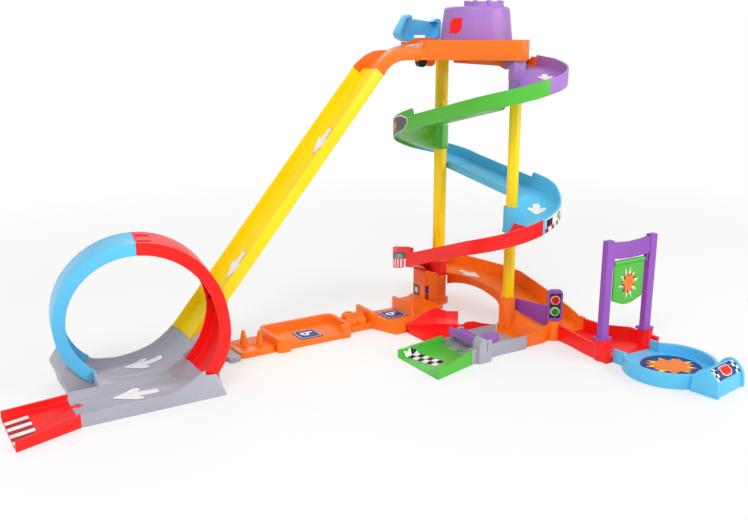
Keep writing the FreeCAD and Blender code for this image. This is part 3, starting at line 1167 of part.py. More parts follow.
def gate_track():
    """Red lane that widens from the turn to the gate, with a round foot and a slot under each gate leg."""
    rim, leg_x, leg_y, leg_z = 5.0, 6.2, 4.2, 16.0
    shift, foot_r = 2.0, 12.0
    spans = [(-TURN_R - 0.02, 42, EXIT_WALL_X, 26), (-118, 40, 112, 24), (-150, 34, 140, 24),
             (GATE_Y - 18, 30, 146, 22)]
    y_start, y_stop = spans[0][0], spans[-1][0]
    body = loft([[V(x0, y, 0), V(x1, y, 0), V(x1, y, top), V(x0, y, top)] for y, x0, x1, top in spans])
    lane = []
    for y, x0, x1, top in spans:
        y += {y_start: 1, y_stop: -1}.get(y, 0)
        lane.append([V(x0 + rim, y, LOW_Z), V(x1 - rim, y, LOW_Z), V(x1 - rim, y, 60), V(x0 + rim, y, 60)])
    feet = [rod(x + shift, GATE_Y, 0, GATE_SEAT - 3, foot_r) for x in (GATE_X0, GATE_X1)]
    body = join(body.cut(loft(lane)), *feet)
    body = body.cut(box(52, 98, y_stop + 8, y_start - 8, -1, LOW_Z - FLOOR_T))
    body = body.cut(rod(DIVERTER_X, DIVERTER_Y, -1, 60, PEDESTAL_R + JOINT_CLEAR))
    for x in (GATE_X0, GATE_X1):
        body = body.cut(box(x - leg_x, x + leg_x, GATE_Y - leg_y, GATE_Y + leg_y, leg_z, 60))
    return body


def gate_frame():
    z0 = GATE_SEAT - 3
    legs = []
    for x in (GATE_X0, GATE_X1):
        legs.append(box(x - 7, x + 7, GATE_Y - 5, GATE_Y + 5, z0, GATE_TOP))
        legs.append(box(x - 11, x + 11, GATE_Y - 9, GATE_Y + 9, z0, GATE_SEAT))
        legs.append(box(x - 6, x + 6, GATE_Y - 4, GATE_Y + 4, 16.5, z0 + 1))
    mid = (GATE_X0 + GATE_X1) / 2
    bar = side([(GATE_X0, 160), (mid - 25, 157), (mid, 156), (mid + 25, 157), (GATE_X1, 160), (GATE_X1, 186),
                (mid + 30, 182), (mid, 180), (mid - 30, 182), (GATE_X0, 186)], GATE_Y - 4, GATE_Y + 4)
    hang = 2.0
    hooks = [box(x - hang, x + hang, GATE_Y - 3, GATE_Y + 3, FLAG_Z - 4, 164) for x in (mid - 36.5, mid + 36.5)]
    body = join(bar, *(legs + hooks))
    return body.cut(rod_x(GATE_Y, FLAG_Z, mid - 38.6, mid + 38.6, FLAG_PIN_R))


def flag_rod():
    mid = (GATE_X0 + GATE_X1) / 2
    return rod_x(GATE_Y, FLAG_Z, mid - 38.5, mid + 38.5, FLAG_PIN_R)


def gate_flag():
    mid = (GATE_X0 + GATE_X1) / 2
    half = 32.0
    top = FLAG_Z - 2
    cloth = side([(mid - half, top), (mid - half, FLAG_LOW + 9), (mid - 12, FLAG_LOW + 1.5), (mid, FLAG_LOW),
                  (mid + 12, FLAG_LOW + 1.5), (mid + half, FLAG_LOW + 9), (mid + half, top)],
                 GATE_Y - 1.3, GATE_Y + 1.3)
    sleeve = rod_x(GATE_Y, FLAG_Z, mid - half, mid + half, 3.6)
    body = join(cloth, sleeve)
    return body.cut(rod_x(GATE_Y, FLAG_Z, mid - half - 1, mid + half + 1, FLAG_PIN_R + RUN_CLEAR))


def catcher_dish():
    body = rod(DISH_X, DISH_Y, 0, DISH_H, DISH_R)
    body = body.cut(rod(DISH_X, DISH_Y, LOW_Z, DISH_H + 1, DISH_R - 6))
    body = body.cut(rod(DISH_X, DISH_Y, -1, LOW_Z - FLOOR_T, DISH_R - WALL))
    bumper = plan([(40, -345), (46, -331), (62, -322), (86, -319), (110, -322), (130, -331), (140, -345),
                   (136, -366), (122, -380), (104, -388), (86, -390), (68, -388), (54, -380), (43, -366)], 0, 38)
    bumper = bumper.cut(rod(DISH_X, DISH_Y, LOW_Z, 60, DISH_R - 6))
    bumper = bumper.cut(plan([(50, -348), (60, -337), (86, -331), (112, -337), (130, -348), (126, -364),
                              (104, -381), (86, -384), (66, -381), (54, -364)], -1, 34))
    entry = box(DISH_X - 38, DISH_X + 38, DISH_Y + DISH_R - 14, GATE_Y - 18.05, 0, LOW_Z)
    entry_walls = join(box(DISH_X - 42, DISH_X - 38, DISH_Y + DISH_R - 18, GATE_Y - 18.05, 0, DISH_H),
                       box(DISH_X + 38, DISH_X + 42, DISH_Y + DISH_R - 18, GATE_Y - 18.05, 0, DISH_H))
    body = join(body, bumper, entry, *entry_walls.Solids)
    return body.cut(box(DISH_X - 38, DISH_X + 38, DISH_Y + 40, GATE_Y - 10, LOW_Z, 60))


def catcher_inlay():
    return rod(DISH_X + 4, DISH_Y, LOW_Z, LOW_Z + SIGN_T, INLAY_R)


def post_left_short():
    return post(LEFT, LEFT_FLATS, Z_GREEN_COLLAR_TOP, Z_DECK, [(225, 350, 14), (200, 400, 10), (250, 372, 8)])


def post_left_long():
    notches = [(225, 120, 16), (250, 168, 9), (200, 210, 12), (225, 250, 9)]
    return post(LEFT, LEFT_FLATS, Z_RED_COLLAR_TOP, Z_GREEN_COLLAR, notches)


def post_right_long():
    notches = [(315, 236, 12), (225, 262, 15), (200, 320, 10), (315, 352, 9)]
    return post(RIGHT, RIGHT_FLATS, Z_BLUE_COLLAR_TOP, Z_PURPLE_COLLAR, notches)


def post_right_short():
    return post(RIGHT, RIGHT_FLATS, Z_BASE_RIGHT, Z_BLUE_COLLAR, [(315, 84, 11), (225, 104, 9), (200, 132, 12)])


def main():
    signal = signal_parts()
    pieces = {
        "tower_base": tower_base(),
        "red_helix": red_helix(),
        "blue_helix": blue_helix(),
        "green_helix": green_helix(),
        "purple_turn": purple_turn(),
        "left_short_post": post_left_short(),
        "left_long_post": post_left_long(),
        "right_long_post": post_right_long(),
        "right_short_post": post_right_short(),
        "top_platform": top_platform(),
        "launch_drum": launch_drum(),
        "drum_dial": drum_dial(),
        "drum_badge": drum_badge(),
        "drum_screws": drum_screws(),
        "launch_cradle": launch_cradle(),
        "cradle_pin": cradle_pin(),
        "trip_wheel": trip_wheel(),
        "ramp_head": ramp_head(),
        "spiral_head": spiral_head(),
        "ramp_upper": ramp_upper(),
        "ramp_lower": ramp_lower(),
        "loop_base": loop_base(),
        "loop_half_blue": loop_half_blue(),
        "loop_half_red": loop_half_red(),
        "loop_exit_ramp": loop_exit_ramp(),
        "link_stub": link_stub(),
        "cone_plate": cone_plate(),
        "traffic_cones": traffic_cones(),
        "parking_bay_1": parking_bay_1(),
        "parking_bay_2": parking_bay_2(),
        "tyre_mounds": tyre_mounds(),
        "parking_sign_1": parking_sign(SIGN1_X, SIGN1_Y),
        "parking_sign_2": parking_sign(SIGN2_X, SIGN2_Y),
        "curve_track": curve_track(),
        "junction_track": junction_track(),
        "stop_gate": stop_gate(),
        "stop_gate_pin": stop_gate_pin(),
        "green_exit_ramp": green_exit_ramp(),
        "diverter_arm": diverter_body(),
        "signal_head": signal[0],
        "signal_face": signal[1],
        "signal_lamp_red": signal[2],
        "signal_lamp_green": signal[3],
        "gate_track": gate_track(),
        "gate_frame": gate_frame(),
        "flag_rod": flag_rod(),
        "gate_flag": gate_flag(),
        "catcher_dish": catcher_dish(),
        "catcher_inlay": catcher_inlay(),
    }
    for name, shape in pieces.items():
        save(name, shape)


main()
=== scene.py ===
import json
import math

import bmesh
import bpy
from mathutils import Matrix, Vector
from mathutils.bvhtree import BVHTree


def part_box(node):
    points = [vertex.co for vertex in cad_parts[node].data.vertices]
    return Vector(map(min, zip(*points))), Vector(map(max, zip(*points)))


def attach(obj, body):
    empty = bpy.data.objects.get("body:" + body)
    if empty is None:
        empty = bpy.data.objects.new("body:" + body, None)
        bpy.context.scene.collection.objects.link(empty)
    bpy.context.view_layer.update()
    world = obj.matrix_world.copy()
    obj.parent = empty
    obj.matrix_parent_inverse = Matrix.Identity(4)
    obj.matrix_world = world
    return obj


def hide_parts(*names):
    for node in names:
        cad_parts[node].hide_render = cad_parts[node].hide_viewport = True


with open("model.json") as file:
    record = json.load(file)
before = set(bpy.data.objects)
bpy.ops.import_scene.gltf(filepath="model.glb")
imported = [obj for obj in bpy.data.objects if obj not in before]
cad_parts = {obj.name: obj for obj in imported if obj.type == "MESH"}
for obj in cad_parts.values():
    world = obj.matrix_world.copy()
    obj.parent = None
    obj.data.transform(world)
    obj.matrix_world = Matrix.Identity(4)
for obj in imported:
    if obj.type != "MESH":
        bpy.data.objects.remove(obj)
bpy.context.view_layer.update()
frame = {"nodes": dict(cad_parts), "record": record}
nodes = frame["nodes"]

# Colours, as linear values
ORANGE = (0.95, 0.185, 0.008)
YELLOW = (0.99, 0.73, 0.002)
RED = (0.93, 0.008, 0.006)
BLUE = (0.11, 0.55, 0.88)
PURPLE = (0.28, 0.075, 0.45)
VIOLET = (0.38, 0.19, 0.57)
LILAC = (0.33, 0.13, 0.56)
GREEN = (0.085, 0.50, 0.045)
GREY = (0.40, 0.40, 0.46)
BLACK = (0.010, 0.010, 0.012)
WHITE = (0.88, 0.86, 0.86)
CREAM = (0.84, 0.76, 0.62)
NAVY = (0.018, 0.045, 0.24)
DARK_RED = (0.42, 0.008, 0.012)
DARK_GREEN = (0.02, 0.16, 0.02)
FLAME = (0.95, 0.22, 0.02)
STEEL = (0.55, 0.55, 0.57)


def node_material(name):
    """Empty node material with its shader, output and a coordinate source."""
    material = bpy.data.materials.new(name)
    material.use_nodes = True
    tree = material.node_tree
    shader = tree.nodes["Principled BSDF"]
    place = tree.nodes.new("ShaderNodeTexCoord")
    return material, tree, shader, place.outputs["Object"]


def noise(tree, place, scale, detail=2.0):
    """Noise value of a given scale, per metre of the object."""
    texture = tree.nodes.new("ShaderNodeTexNoise")
    texture.inputs["Scale"].default_value = scale
    texture.inputs["Detail"].default_value = detail
    tree.links.new(place, texture.inputs["Vector"])
    return texture.outputs["Fac"]


def remap(tree, value, low, high):
    """Stretches the middle of a noise value on to a range."""
    node = tree.nodes.new("ShaderNodeMapRange")
    node.inputs["From Min"].default_value = 0.3
    node.inputs["From Max"].default_value = 0.7
    node.inputs["To Min"].default_value = low
    node.inputs["To Max"].default_value = high
    tree.links.new(value, node.inputs["Value"])
    return node.outputs["Result"]


def tint(tree, value, colour, spread):
    """Colour that drifts a little lighter and darker with a value."""
    ramp = tree.nodes.new("ShaderNodeValToRGB")
    dark = [c * (1 - spread) for c in colour]
    light = [min(1.0, c * (1 + spread)) for c in colour]
    ramp.color_ramp.elements[0].position = 0.3
    ramp.color_ramp.elements[0].color = (*dark, 1)
    ramp.color_ramp.elements[1].position = 0.7
    ramp.color_ramp.elements[1].color = (*light, 1)
    tree.links.new(value, ramp.inputs["Fac"])
    return ramp.outputs["Color"]


def plastic(name, colour, rough=0.34, coat=0.08, grain=0.035):
    """Moulded plastic: slow colour drift, uneven gloss and a fine moulded skin."""
    material, tree, shader, place = node_material(name)
    drift = noise(tree, place, 9.0, 2.0)
    tree.links.new(tint(tree, drift, colour, 0.035), shader.inputs["Base Color"])
    smear = noise(tree, place, 24.0, 2.0)
    tree.links.new(remap(tree, smear, rough - 0.04, rough + 0.06), shader.inputs["Roughness"])
    bump = tree.nodes.new("ShaderNodeBump")
    bump.inputs["Strength"].default_value = grain
    bump.inputs["Distance"].default_value = 0.0003
    tree.links.new(noise(tree, place, 700.0, 1.0), bump.inputs["Height"])
    tree.links.new(bump.outputs["Normal"], shader.inputs["Normal"])
    shader.inputs["Specular IOR Level"].default_value = 0.32
    shader.inputs["Coat Weight"].default_value = coat
    shader.inputs["Coat Roughness"].default_value = 0.15
    return material


def print_ink(name, colour, rough=0.42):
    """Printed label film: flat ink with faint unevenness."""
    material, tree, shader, place = node_material(name)
    drift = noise(tree, place, 120.0, 2.0)
    tree.links.new(tint(tree, drift, colour, 0.03), shader.inputs["Base Color"])
    smear = noise(tree, place, 300.0)
    tree.links.new(remap(tree, smear, rough - 0.05, rough + 0.05), shader.inputs["Roughness"])
    shader.inputs["Specular IOR Level"].default_value = 0.3
    return material


MATERIALS = {
    "orange_plastic": plastic("orange_plastic", ORANGE),
    "yellow_plastic": plastic("yellow_plastic", YELLOW),
    "red_plastic": plastic("red_plastic", RED),
    "blue_plastic": plastic("blue_plastic", BLUE),
    "purple_plastic": plastic("purple_plastic", PURPLE),
    "lilac_plastic": plastic("lilac_plastic", LILAC),
    "green_plastic": plastic("green_plastic", GREEN),
    "grey_plastic": plastic("grey_plastic", GREY),
    "black_plastic": plastic("black_plastic", BLACK, rough=0.4),
    "label": print_ink("label", NAVY),
    "steel": plastic("steel", STEEL, rough=0.3, coat=0.0),
}
DRUM_SKIN = plastic("drum_skin", VIOLET)
INK = {
    "white": print_ink("ink_white", WHITE),
    "cream": print_ink("ink_cream", CREAM),
    "black": print_ink("ink_black", BLACK),
    "navy": print_ink("ink_navy", NAVY),
    "orange": print_ink("ink_orange", FLAME),
    "yellow": print_ink("ink_yellow", YELLOW),
    "red": print_ink("ink_red", RED),
    "dark_red": print_ink("ink_dark_red", DARK_RED),
    "dark_green": print_ink("ink_dark_green", DARK_GREEN),
    "green": print_ink("ink_green", GREEN),
    "grey": print_ink("ink_grey", (0.12, 0.12, 0.14)),
    "steel": print_ink("ink_steel", (0.36, 0.36, 0.40)),
    "blue": print_ink("ink_blue", (0.02, 0.045, 0.26)),
}


# Edges sharper than this stay crisp and are rounded, in degrees
EDGE_ANGLE = 32.0


def shading_group():
    """Geometry nodes that smooth the mesh except at real edges."""
    group = bpy.data.node_groups.new("smooth_by_edge", "GeometryNodeTree")
    group.interface.new_socket("Geometry", in_out="INPUT", socket_type="NodeSocketGeometry")
    group.interface.new_socket("Geometry", in_out="OUTPUT", socket_type="NodeSocketGeometry")
    make = group.nodes.new
    start, stop = make("NodeGroupInput"), make("NodeGroupOutput")
    faces, edges = make("GeometryNodeSetShadeSmooth"), make("GeometryNodeSetShadeSmooth")
    edges.domain = "EDGE"
    angle, compare = make("GeometryNodeInputMeshEdgeAngle"), make("FunctionNodeCompare")
    compare.operation = "GREATER_THAN"
    compare.inputs["B"].default_value = math.radians(EDGE_ANGLE)
    edges.inputs["Shade Smooth"].default_value = False
    link = group.links.new
    link(start.outputs[0], faces.inputs["Geometry"])
    link(faces.outputs["Geometry"], edges.inputs["Geometry"])
    link(angle.outputs["Unsigned Angle"], compare.inputs["A"])
    link(compare.outputs["Result"], edges.inputs["Selection"])
    link(edges.outputs["Geometry"], stop.inputs[0])
    return group


SMOOTH = shading_group()


def soften(piece, width):
    """Welds, merges flat triangles, rounds real edges and smooths the rest."""
    weld = piece.modifiers.new("weld", "WELD")
    weld.merge_threshold = 0.00002
    flatten = piece.modifiers.new("flatten", "DECIMATE")
    flatten.decimate_type = "DISSOLVE"
    flatten.angle_limit = math.radians(0.6)
    bevel = piece.modifiers.new("round", "BEVEL")
    bevel.width = width
    bevel.segments = 3
    bevel.limit_method = "ANGLE"
    bevel.angle_limit = math.radians(EDGE_ANGLE)
    bevel.harden_normals = False
    shade = piece.modifiers.new("smooth", "NODES")
    shade.node_group = SMOOTH
    return piece


SLOTS = {part["node"]: part["material_slot"] for part in frame["record"]["subparts"]}
SKINS = {"launch_drum": DRUM_SKIN, "drum_dial": DRUM_SKIN, "purple_turn": DRUM_SKIN}
# Widths of the rounded edges in millimetres; every other node has 0.7
ROUND = {
    "parking_bay_1": 2.2, "parking_bay_2": 1.8, "cone_plate": 1.2, "tyre_mounds": 2.0, "traffic_cones": 0.8,
    "tower_base": 0.8, "top_platform": 1.2, "launch_drum": 1.0, "drum_dial": 1.4, "launch_cradle": 1.8,
    "gate_frame": 1.5, "gate_track": 1.6, "gate_flag": 0.5, "junction_track": 1.4, "curve_track": 1.2,
    "green_exit_ramp": 1.6, "loop_exit_ramp": 1.6, "loop_base": 1.0, "ramp_head": 1.2, "stop_gate": 1.0,
    "signal_head": 1.2, "signal_face": 0.2, "signal_lamp_red": 0.6, "signal_lamp_green": 0.6,
    "drum_badge": 0.3, "drum_screws": 0.2, "parking_sign_1": 0.1, "parking_sign_2": 0.1,
    "catcher_inlay": 0.1, "catcher_dish": 2.2,
}
for name, node in nodes.items():
    node.data.materials.clear()
    node.data.materials.append(SKINS.get(name, MATERIALS[SLOTS[name]]))
    soften(node, ROUND.get(name, 0.7) / 1000)

MM = 0.001
# Height of every mark above its surface and the height that rays are dropped from, in millimetres
LIFT = 0.25
SKY = 700.0
TREES = {}


def drop(node, x, y, z=SKY):
    """Point just above the node's surface straight below (x, y, z), all in millimetres."""
    if node not in TREES:
        mesh = nodes[node].data
        faces = [p.vertices[:] for p in mesh.polygons]
        TREES[node] = BVHTree.FromPolygons([v.co for v in mesh.vertices], faces)
    hit, normal, face, distance = TREES[node].ray_cast(Vector((x, y, z)) * MM, Vector((0, 0, -1)))
    if hit is None:
        return Vector((x, y, 0)) * MM
    return hit + normal * LIFT * MM


def onto(node, origin, heading, z=SKY):
    """Mapping of flat coordinates on to a node from above: u along heading in degrees, v to its left."""
    c, s = math.cos(math.radians(heading)), math.sin(math.radians(heading))
    return lambda u, v: drop(node, origin[0] + u * c - v * s, origin[1] + u * s + v * c, z)


def flat_on(origin, along, up, lift=0.0):
    """Mapping on to a plane: origin, directions of u and v, and a lift along their cross product."""
    along, up = Vector(along).normalized(), Vector(up).normalized()
    base = Vector(origin) + along.cross(up) * (LIFT + lift)
    return lambda u, v: (base + along * u + up * v) * MM


def lay(name, outline, put, ink, body="root", cuts=3, raise_by=0.0, fan=False):
    """Printed mark: a filled outline laid on a surface. A star is filled as a fan from its middle."""
    shape = bmesh.new()
    verts = [shape.verts.new((u, v, 0)) for u, v in outline]
    if fan:
        mid = shape.verts.new([sum(c) / len(outline) for c in zip(*outline)] + [0])
        for one, two in zip(verts, verts[1:] + verts[:1]):
            shape.faces.new((mid, one, two))
    else:
        shape.faces.new(verts)
        bmesh.ops.triangulate(shape, faces=shape.faces[:])
    if cuts:
        bmesh.ops.subdivide_edges(shape, edges=shape.edges[:], cuts=cuts, use_grid_fill=True)
    for vert in shape.verts:
        vert.co = put(vert.co.x, vert.co.y) + Vector((0, 0, raise_by * MM))
    mesh = bpy.data.meshes.new(name)
    shape.to_mesh(mesh)
    shape.free()
    mesh.materials.append(INK[ink])
    piece = bpy.data.objects.new(name, mesh)
    bpy.context.scene.collection.objects.link(piece)
    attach(piece, body)
    return piece


def arrow(length, width):
    """Outline of a barbed arrow pointing along u, centred on the origin."""
    shaft = [(-0.5, 0.10), (-0.46, 0.19), (-0.04, 0.20)]
    barb = [(-0.15, 0.38), (-0.08, 0.49), (0.04, 0.49), (0.5, 0.05)]
    shape = shaft + barb
    shape = shape + [(u, -v) for u, v in shape[::-1]]
    return [(u * length, v * width) for u, v in shape]


def oblong(u0, u1, v0, v1):
    return [(u0, v0), (u1, v0), (u1, v1), (u0, v1)]


def disc(r, u=0.0, v=0.0, count=28):
    turns = [2 * math.pi * k / count for k in range(count)]
    return [(u + r * math.cos(t), v + r * math.sin(t)) for t in turns]


def burst(outer, inner, spikes, spin=0.0, stretch=1.0):
    """Star with uneven spikes."""
    points = []
    for k in range(2 * spikes):
        r = inner if k % 2 else outer * (1.0 - 0.22 * ((k * 7) % 5) / 4)
        t = math.radians(spin) + math.pi * k / spikes
        points.append((stretch * r * math.cos(t), r * math.sin(t)))
    return points


def blob(r, lobes, depth, spin=0.0, stretch=1.0, u=0.0, v=0.0):
    """Cloud-like splash with round lobes."""
    points = []
    for k in range(lobes * 8):
        t = 2 * math.pi * k / (lobes * 8)
        reach = r * (1 - depth * abs(math.sin(lobes * t / 2 + spin)) + 0.06 * math.sin(3 * t))
        points.append((u + stretch * reach * math.cos(t), v + reach * math.sin(t)))
    return points


# Stations along the spiral's outer wall: straight runs and half turns, clockwise going down
TURN_R, COL_GAP = 84.5, 188.0
QUARTER = math.pi * TURN_R / 2
LAP = 2 * COL_GAP + 4 * QUARTER
NEAR, FAR = COL_GAP, 2 * COL_GAP + 2 * QUARTER


def spiral_place(s, r):
    """Plan point at station s, r outward from the line of the columns, in millimetres."""
    s = s % LAP
    if s < COL_GAP:
        return r, COL_GAP - s
    if s < FAR - COL_GAP:
        t = -(s - COL_GAP) / TURN_R
        return r * math.cos(t), r * math.sin(t)
    if s < FAR:
        return -r, s - (FAR - COL_GAP)
    t = math.pi - (s - FAR) / TURN_R
    return r * math.cos(t), COL_GAP + r * math.sin(t)


def on_lane(node, s_mid, r_mid, z):
    """Mapping on to a spiral's floor: u downstream, v inward."""
    return lambda u, v: drop(node, *spiral_place(s_mid + u, r_mid - v), z)


def on_wall(s_mid, z_at, lift=0.0):
    """Mapping on to a spiral's outer wall: u downstream, v up from the wall's lower edge."""
    def put(u, v):
        s = s_mid + u
        x, y = spiral_place(s, TURN_R + LIFT + lift)
        return Vector((x, y, z_at(s) + v)) * MM
    return put


def checker(name, put, u0, v0, cell_u, cell_v, columns, rows):
    """Rows of alternating squares."""
    for row in range(rows):
        for column in range(columns):
            ink = "black" if (row + column) % 2 else "white"
            u, v = u0 + column * cell_u, v0 + row * cell_v
            square = oblong(u, u + cell_u, v, v + cell_v)
            lay("%s_%d_%d" % (name, row, column), square, put, ink, cuts=1)


def lane_arrows():
    """White arrows along the lanes, with a thin outline on the plain straight ones."""
    # Node, middle, heading, length, width, outline's ink and the height that the mark is dropped from
    marks = (
        ("ramp_lower", (-421.0, 134.0), 180.0, 31.0, 30.0, "orange", SKY),
        ("ramp_upper", (-269.0, 134.0), 180.0, 31.0, 30.0, "orange", SKY),
        ("ramp_head", (-97.0, 133.0), 180.0, 34.0, 24.0, "orange", SKY),
        ("loop_base", (-570.0, 143.0), 172.0, 56.0, 36.0, "grey", SKY),
        ("loop_base", (-612.0, 40.0), 175.0, 62.0, 38.0, "grey", SKY),
        ("tower_base", (50.0, 158.0), 272.0, 56.0, 26.0, "dark_red", 76.0),
    )
    wider = 1.8
    for number, (node, middle, heading, length, width, edge, top) in enumerate(marks):
        put = onto(node, middle, heading, top)
        lay("arrow_%d_edge" % number, arrow(length + wider, width + wider), put, edge)
        lay("arrow_%d" % number, arrow(length, width), put, "white", raise_by=0.15)
    # Node, station, distance from the columns' line, height dropped from, length and width
    spiral_marks = (
        ("purple_turn", NEAR + 52, 50.0, 470.0, 40.0, 24.0),
        ("blue_helix", LAP + NEAR + 58, 46.0, 250.0, 44.0, 30.0),
    )
    for node, s, r, top, length, width in spiral_marks:
        lay("arrow_" + node, arrow(length, width), on_lane(node, s, r, top), "white")
    put = onto("tower_base", (70.0, -30.0), 250.0, 70.0)
    lay("arrow_exit", arrow(40, 24), put, "cream")


def end_marks():
    """Checkered foot of the green ramp and striped foot of the red one."""
    green = onto("green_exit_ramp", (-199.0, -84.0), 13.6)
    cell_u, cell_v = 10.5, 9.3
    checker("green_foot", green, 0.5, 3.0, cell_u, cell_v, 2, 7)
    red = onto("loop_exit_ramp", (-779.5, 18.0), 0.0)
    depth, slant, stripe, pitch = 30, 3, 10, 21.0
    lay("red_foot_field", oblong(0, depth, -42, 38), red, "dark_red")
    for k in range(4):
        v = -38.0 + pitch * k
        outline = [(0, v), (depth, v + slant), (depth, v + slant + stripe), (0, v + stripe)]
        lay("red_foot_stripe_%d" % k, outline, red, "white", raise_by=0.12)


def parking_marks():
    """White border and lying parking letter on each sign."""
    bowl_u, bowl_wide, bowl_high = -3.6, 7.0, 8.6
    hole_wide, hole_high = 2.6, 3.6
    half_turn = [math.pi * k / 12 for k in range(13)]
    full_turn = [2 * math.pi * k / 16 for k in range(16)]
    ring = [(bowl_u + bowl_wide * math.cos(t), 1.5 - bowl_high * math.sin(t)) for t in half_turn]
    bowl = [(-10.6, 6.0)] + ring[::-1] + [(3.4, 6.0)]
    hole = [(bowl_u + hole_wide * math.cos(t), 1.2 - hole_high * math.sin(t)) for t in full_turn]
    for node in ("parking_sign_1", "parking_sign_2"):
        low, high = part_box(node)
        mid = [(a + b) / 2 / MM for a, b in zip(low, high)]
        put = onto(node, mid[:2], 0.0)
        lay(node + "_border", disc_square(18.0, 3.0), put, "white", cuts=0)
        lay(node + "_field", disc_square(16.6, 2.4), put, "blue", cuts=0, raise_by=0.1)
        lay(node + "_stem", oblong(-10, 11, 3.5, 8.5), put, "white", cuts=0, raise_by=0.2)
        lay(node + "_bowl", bowl, put, "white", cuts=0, raise_by=0.22)
        lay(node + "_hole", hole, put, "blue", cuts=0, raise_by=0.32)


def disc_square(half, corner):
    """Square outline with round corners."""
    points = []
    reach = half - corner
    for cu, cv, start in ((1, 1, 0), (-1, 1, 90), (-1, -1, 180), (1, -1, 270)):
        for k in range(5):
            t = math.radians(start + 22.5 * k)
            points.append((cu * reach + corner * math.cos(t), cv * reach + corner * math.sin(t)))
    return points


def falling(top, bottom, start):
    """Height of a wall's lower edge that falls from top to bottom over a quarter turn after a station."""
    return lambda s: top - (s - start) * (top - bottom) / QUARTER


def wall_marks():
    """Printed ends of the green, red and blue tracks."""
    middle, edge = FAR + 14, falling(320.6, 277.4, FAR)
    shield = [(-22, 3), (-31, 10), (-30, 18), (-14, 26), (4, 29), (30, 30), (30, 1), (0, 1)]
    rim = [(-23, 1.5), (-33, 9.5), (-32, 19), (-15, 28), (4, 30.6), (30, 31.4), (30, 0), (0, 0)]
    splash = blob(9.0, 5, 0.3, 0.4, 1.2, 12.0, 15.0)
    lay("green_mark_rim", rim, on_wall(middle, edge), "white")
    lay("green_mark_field", shield, on_wall(middle, edge, 0.2), "grey")
    lay("green_mark_splash", splash, on_wall(middle, edge, 0.4), "orange")

    middle, edge = FAR + 8, falling(77.0, 47.0, FAR)
    put = on_wall(middle, edge)
    for k in range(5):
        u = -25 + 11.5 * k
        lay("red_mark_stripe_%d" % k, [(u, 1.5), (u + 6, 1.5), (u + 4.5, 17), (u - 1.5, 17)], put, "white")
    figure = [(-18, 19), (10, 19), (4, 25), (-8, 27), (-14, 24)]
    lay("red_mark_field", oblong(-26, 28, 18, 30), put, "grey")
    lay("red_mark_figure", figure, on_wall(middle, edge, 0.2), "steel")

    middle, edge = LAP + NEAR + 102, falling(218.5, 180.0, LAP + NEAR)
    put, over = on_wall(middle, edge), on_wall(middle, edge, 0.2)
    wide = 7.2
    for k in range(7):
        u = -25 + wide * k
        stripe = [(u, 1.5), (u + wide, 1.5), (u + wide + 1.2, 8), (u + 1.2, 8)]
        lay("blue_mark_stripe_%d" % k, stripe, put, "white" if k % 2 else "dark_red")
    lay("blue_mark_sky", oblong(-24, 26, 8.2, 23), put, "white")
    lay("blue_mark_board", oblong(10, 24, 9, 21), over, "black")
    lay("blue_mark_tree", disc(6.0, -12.0, 15.0), over, "green")


def block_marks():
    """Small printed panels on the block beside the left column."""
    front = flat_on((-37.8, 175.8, 39.0), (1, 0, 0), (0, 0, 1))
    lay("block_panel_red", oblong(0, 8, -29, -16), front, "dark_red", cuts=0)
    lay("block_panel_blue", oblong(0, 8, -14, 0), front, "navy", cuts=0)
    side = ((-39.2, 210.5, 36.5), (0, -1, 0), (0, 0, 1))
    lay("block_panel_dark", oblong(0, 19, -20, 0), flat_on(*side), "grey", cuts=0)
    lay("block_panel_cream", oblong(5, 14, -15, -5), flat_on(*side, 0.2), "cream", cuts=0)


# Catcher, in millimetres: middle, radii and height of the dish, its floor, and half the width of its mouth
DISH = (86.0, -274.0)
DISH_OUT, DISH_IN, DISH_TOP = 67.0, 61.0, 22.0
LANE_Z, DISH_FLOOR = 8.0, 2.6
MOUTH, MOUTH_WALL, MOUTH_BACK = 38.0, 4.0, 50.0
DISH_STEPS = 96
# Bumper: its near corner, turn in degrees, length, end plates, and its profile from the front to the dish
BUMPER_CORNER = (60.0, -378.5)
BUMPER_TURN = 9.0
BUMPER_LONG, PLATE = 75.0, 5.5
BUMPER_FRONT = [(0, 0), (1.5, 18), (4, 24.5), (9, 31), (15, 35.8), (21, 37.6)]
BUMPER_REAR = [(27, 36.8), (33, 33), (38, 27), (41, 21), (43, 0)]
PROFILE = BUMPER_FRONT + BUMPER_REAR
# Between the plates the same profile lies lower and further in
INNER_IN, INNER_DOWN, INNER_DEEP = 2.0, 2.4, 39.0
INNER = [(INNER_IN + q * INNER_DEEP / PROFILE[-1][0], z - INNER_DOWN if z else z) for q, z in PROFILE]
LABEL_RUN = INNER[2:6]


def bumper_place(p, q, z):
    """Point of the bumper: p along its front, q toward the dish and z up."""
    c, s = math.cos(math.radians(BUMPER_TURN)), math.sin(math.radians(BUMPER_TURN))
    return Vector((BUMPER_CORNER[0] + p * c - q * s, BUMPER_CORNER[1] + p * s + q * c, z)) * MM


def loft(shape, rings):
    """Solid skin through equal rings of points, with both end rings filled."""
    rows = [[shape.verts.new(co) for co in ring] for ring in rings]
    count = len(rows[0])
    for one, two in zip(rows, rows[1:]):
        for k in range(count):
            shape.faces.new((one[k], one[(k + 1) % count], two[(k + 1) % count], two[k]))
    shape.faces.new(rows[0][::-1])
    shape.faces.new(rows[-1])


def prism(shape, plan, z0, z1):
    """Prism of a plan outline in millimetres."""
    loft(shape, [[Vector((x, y, z)) * MM for x, y in plan] for z in (z0, z1)])


def dish_point(r, t):
    return DISH[0] + r * math.cos(t), DISH[1] + r * math.sin(t)


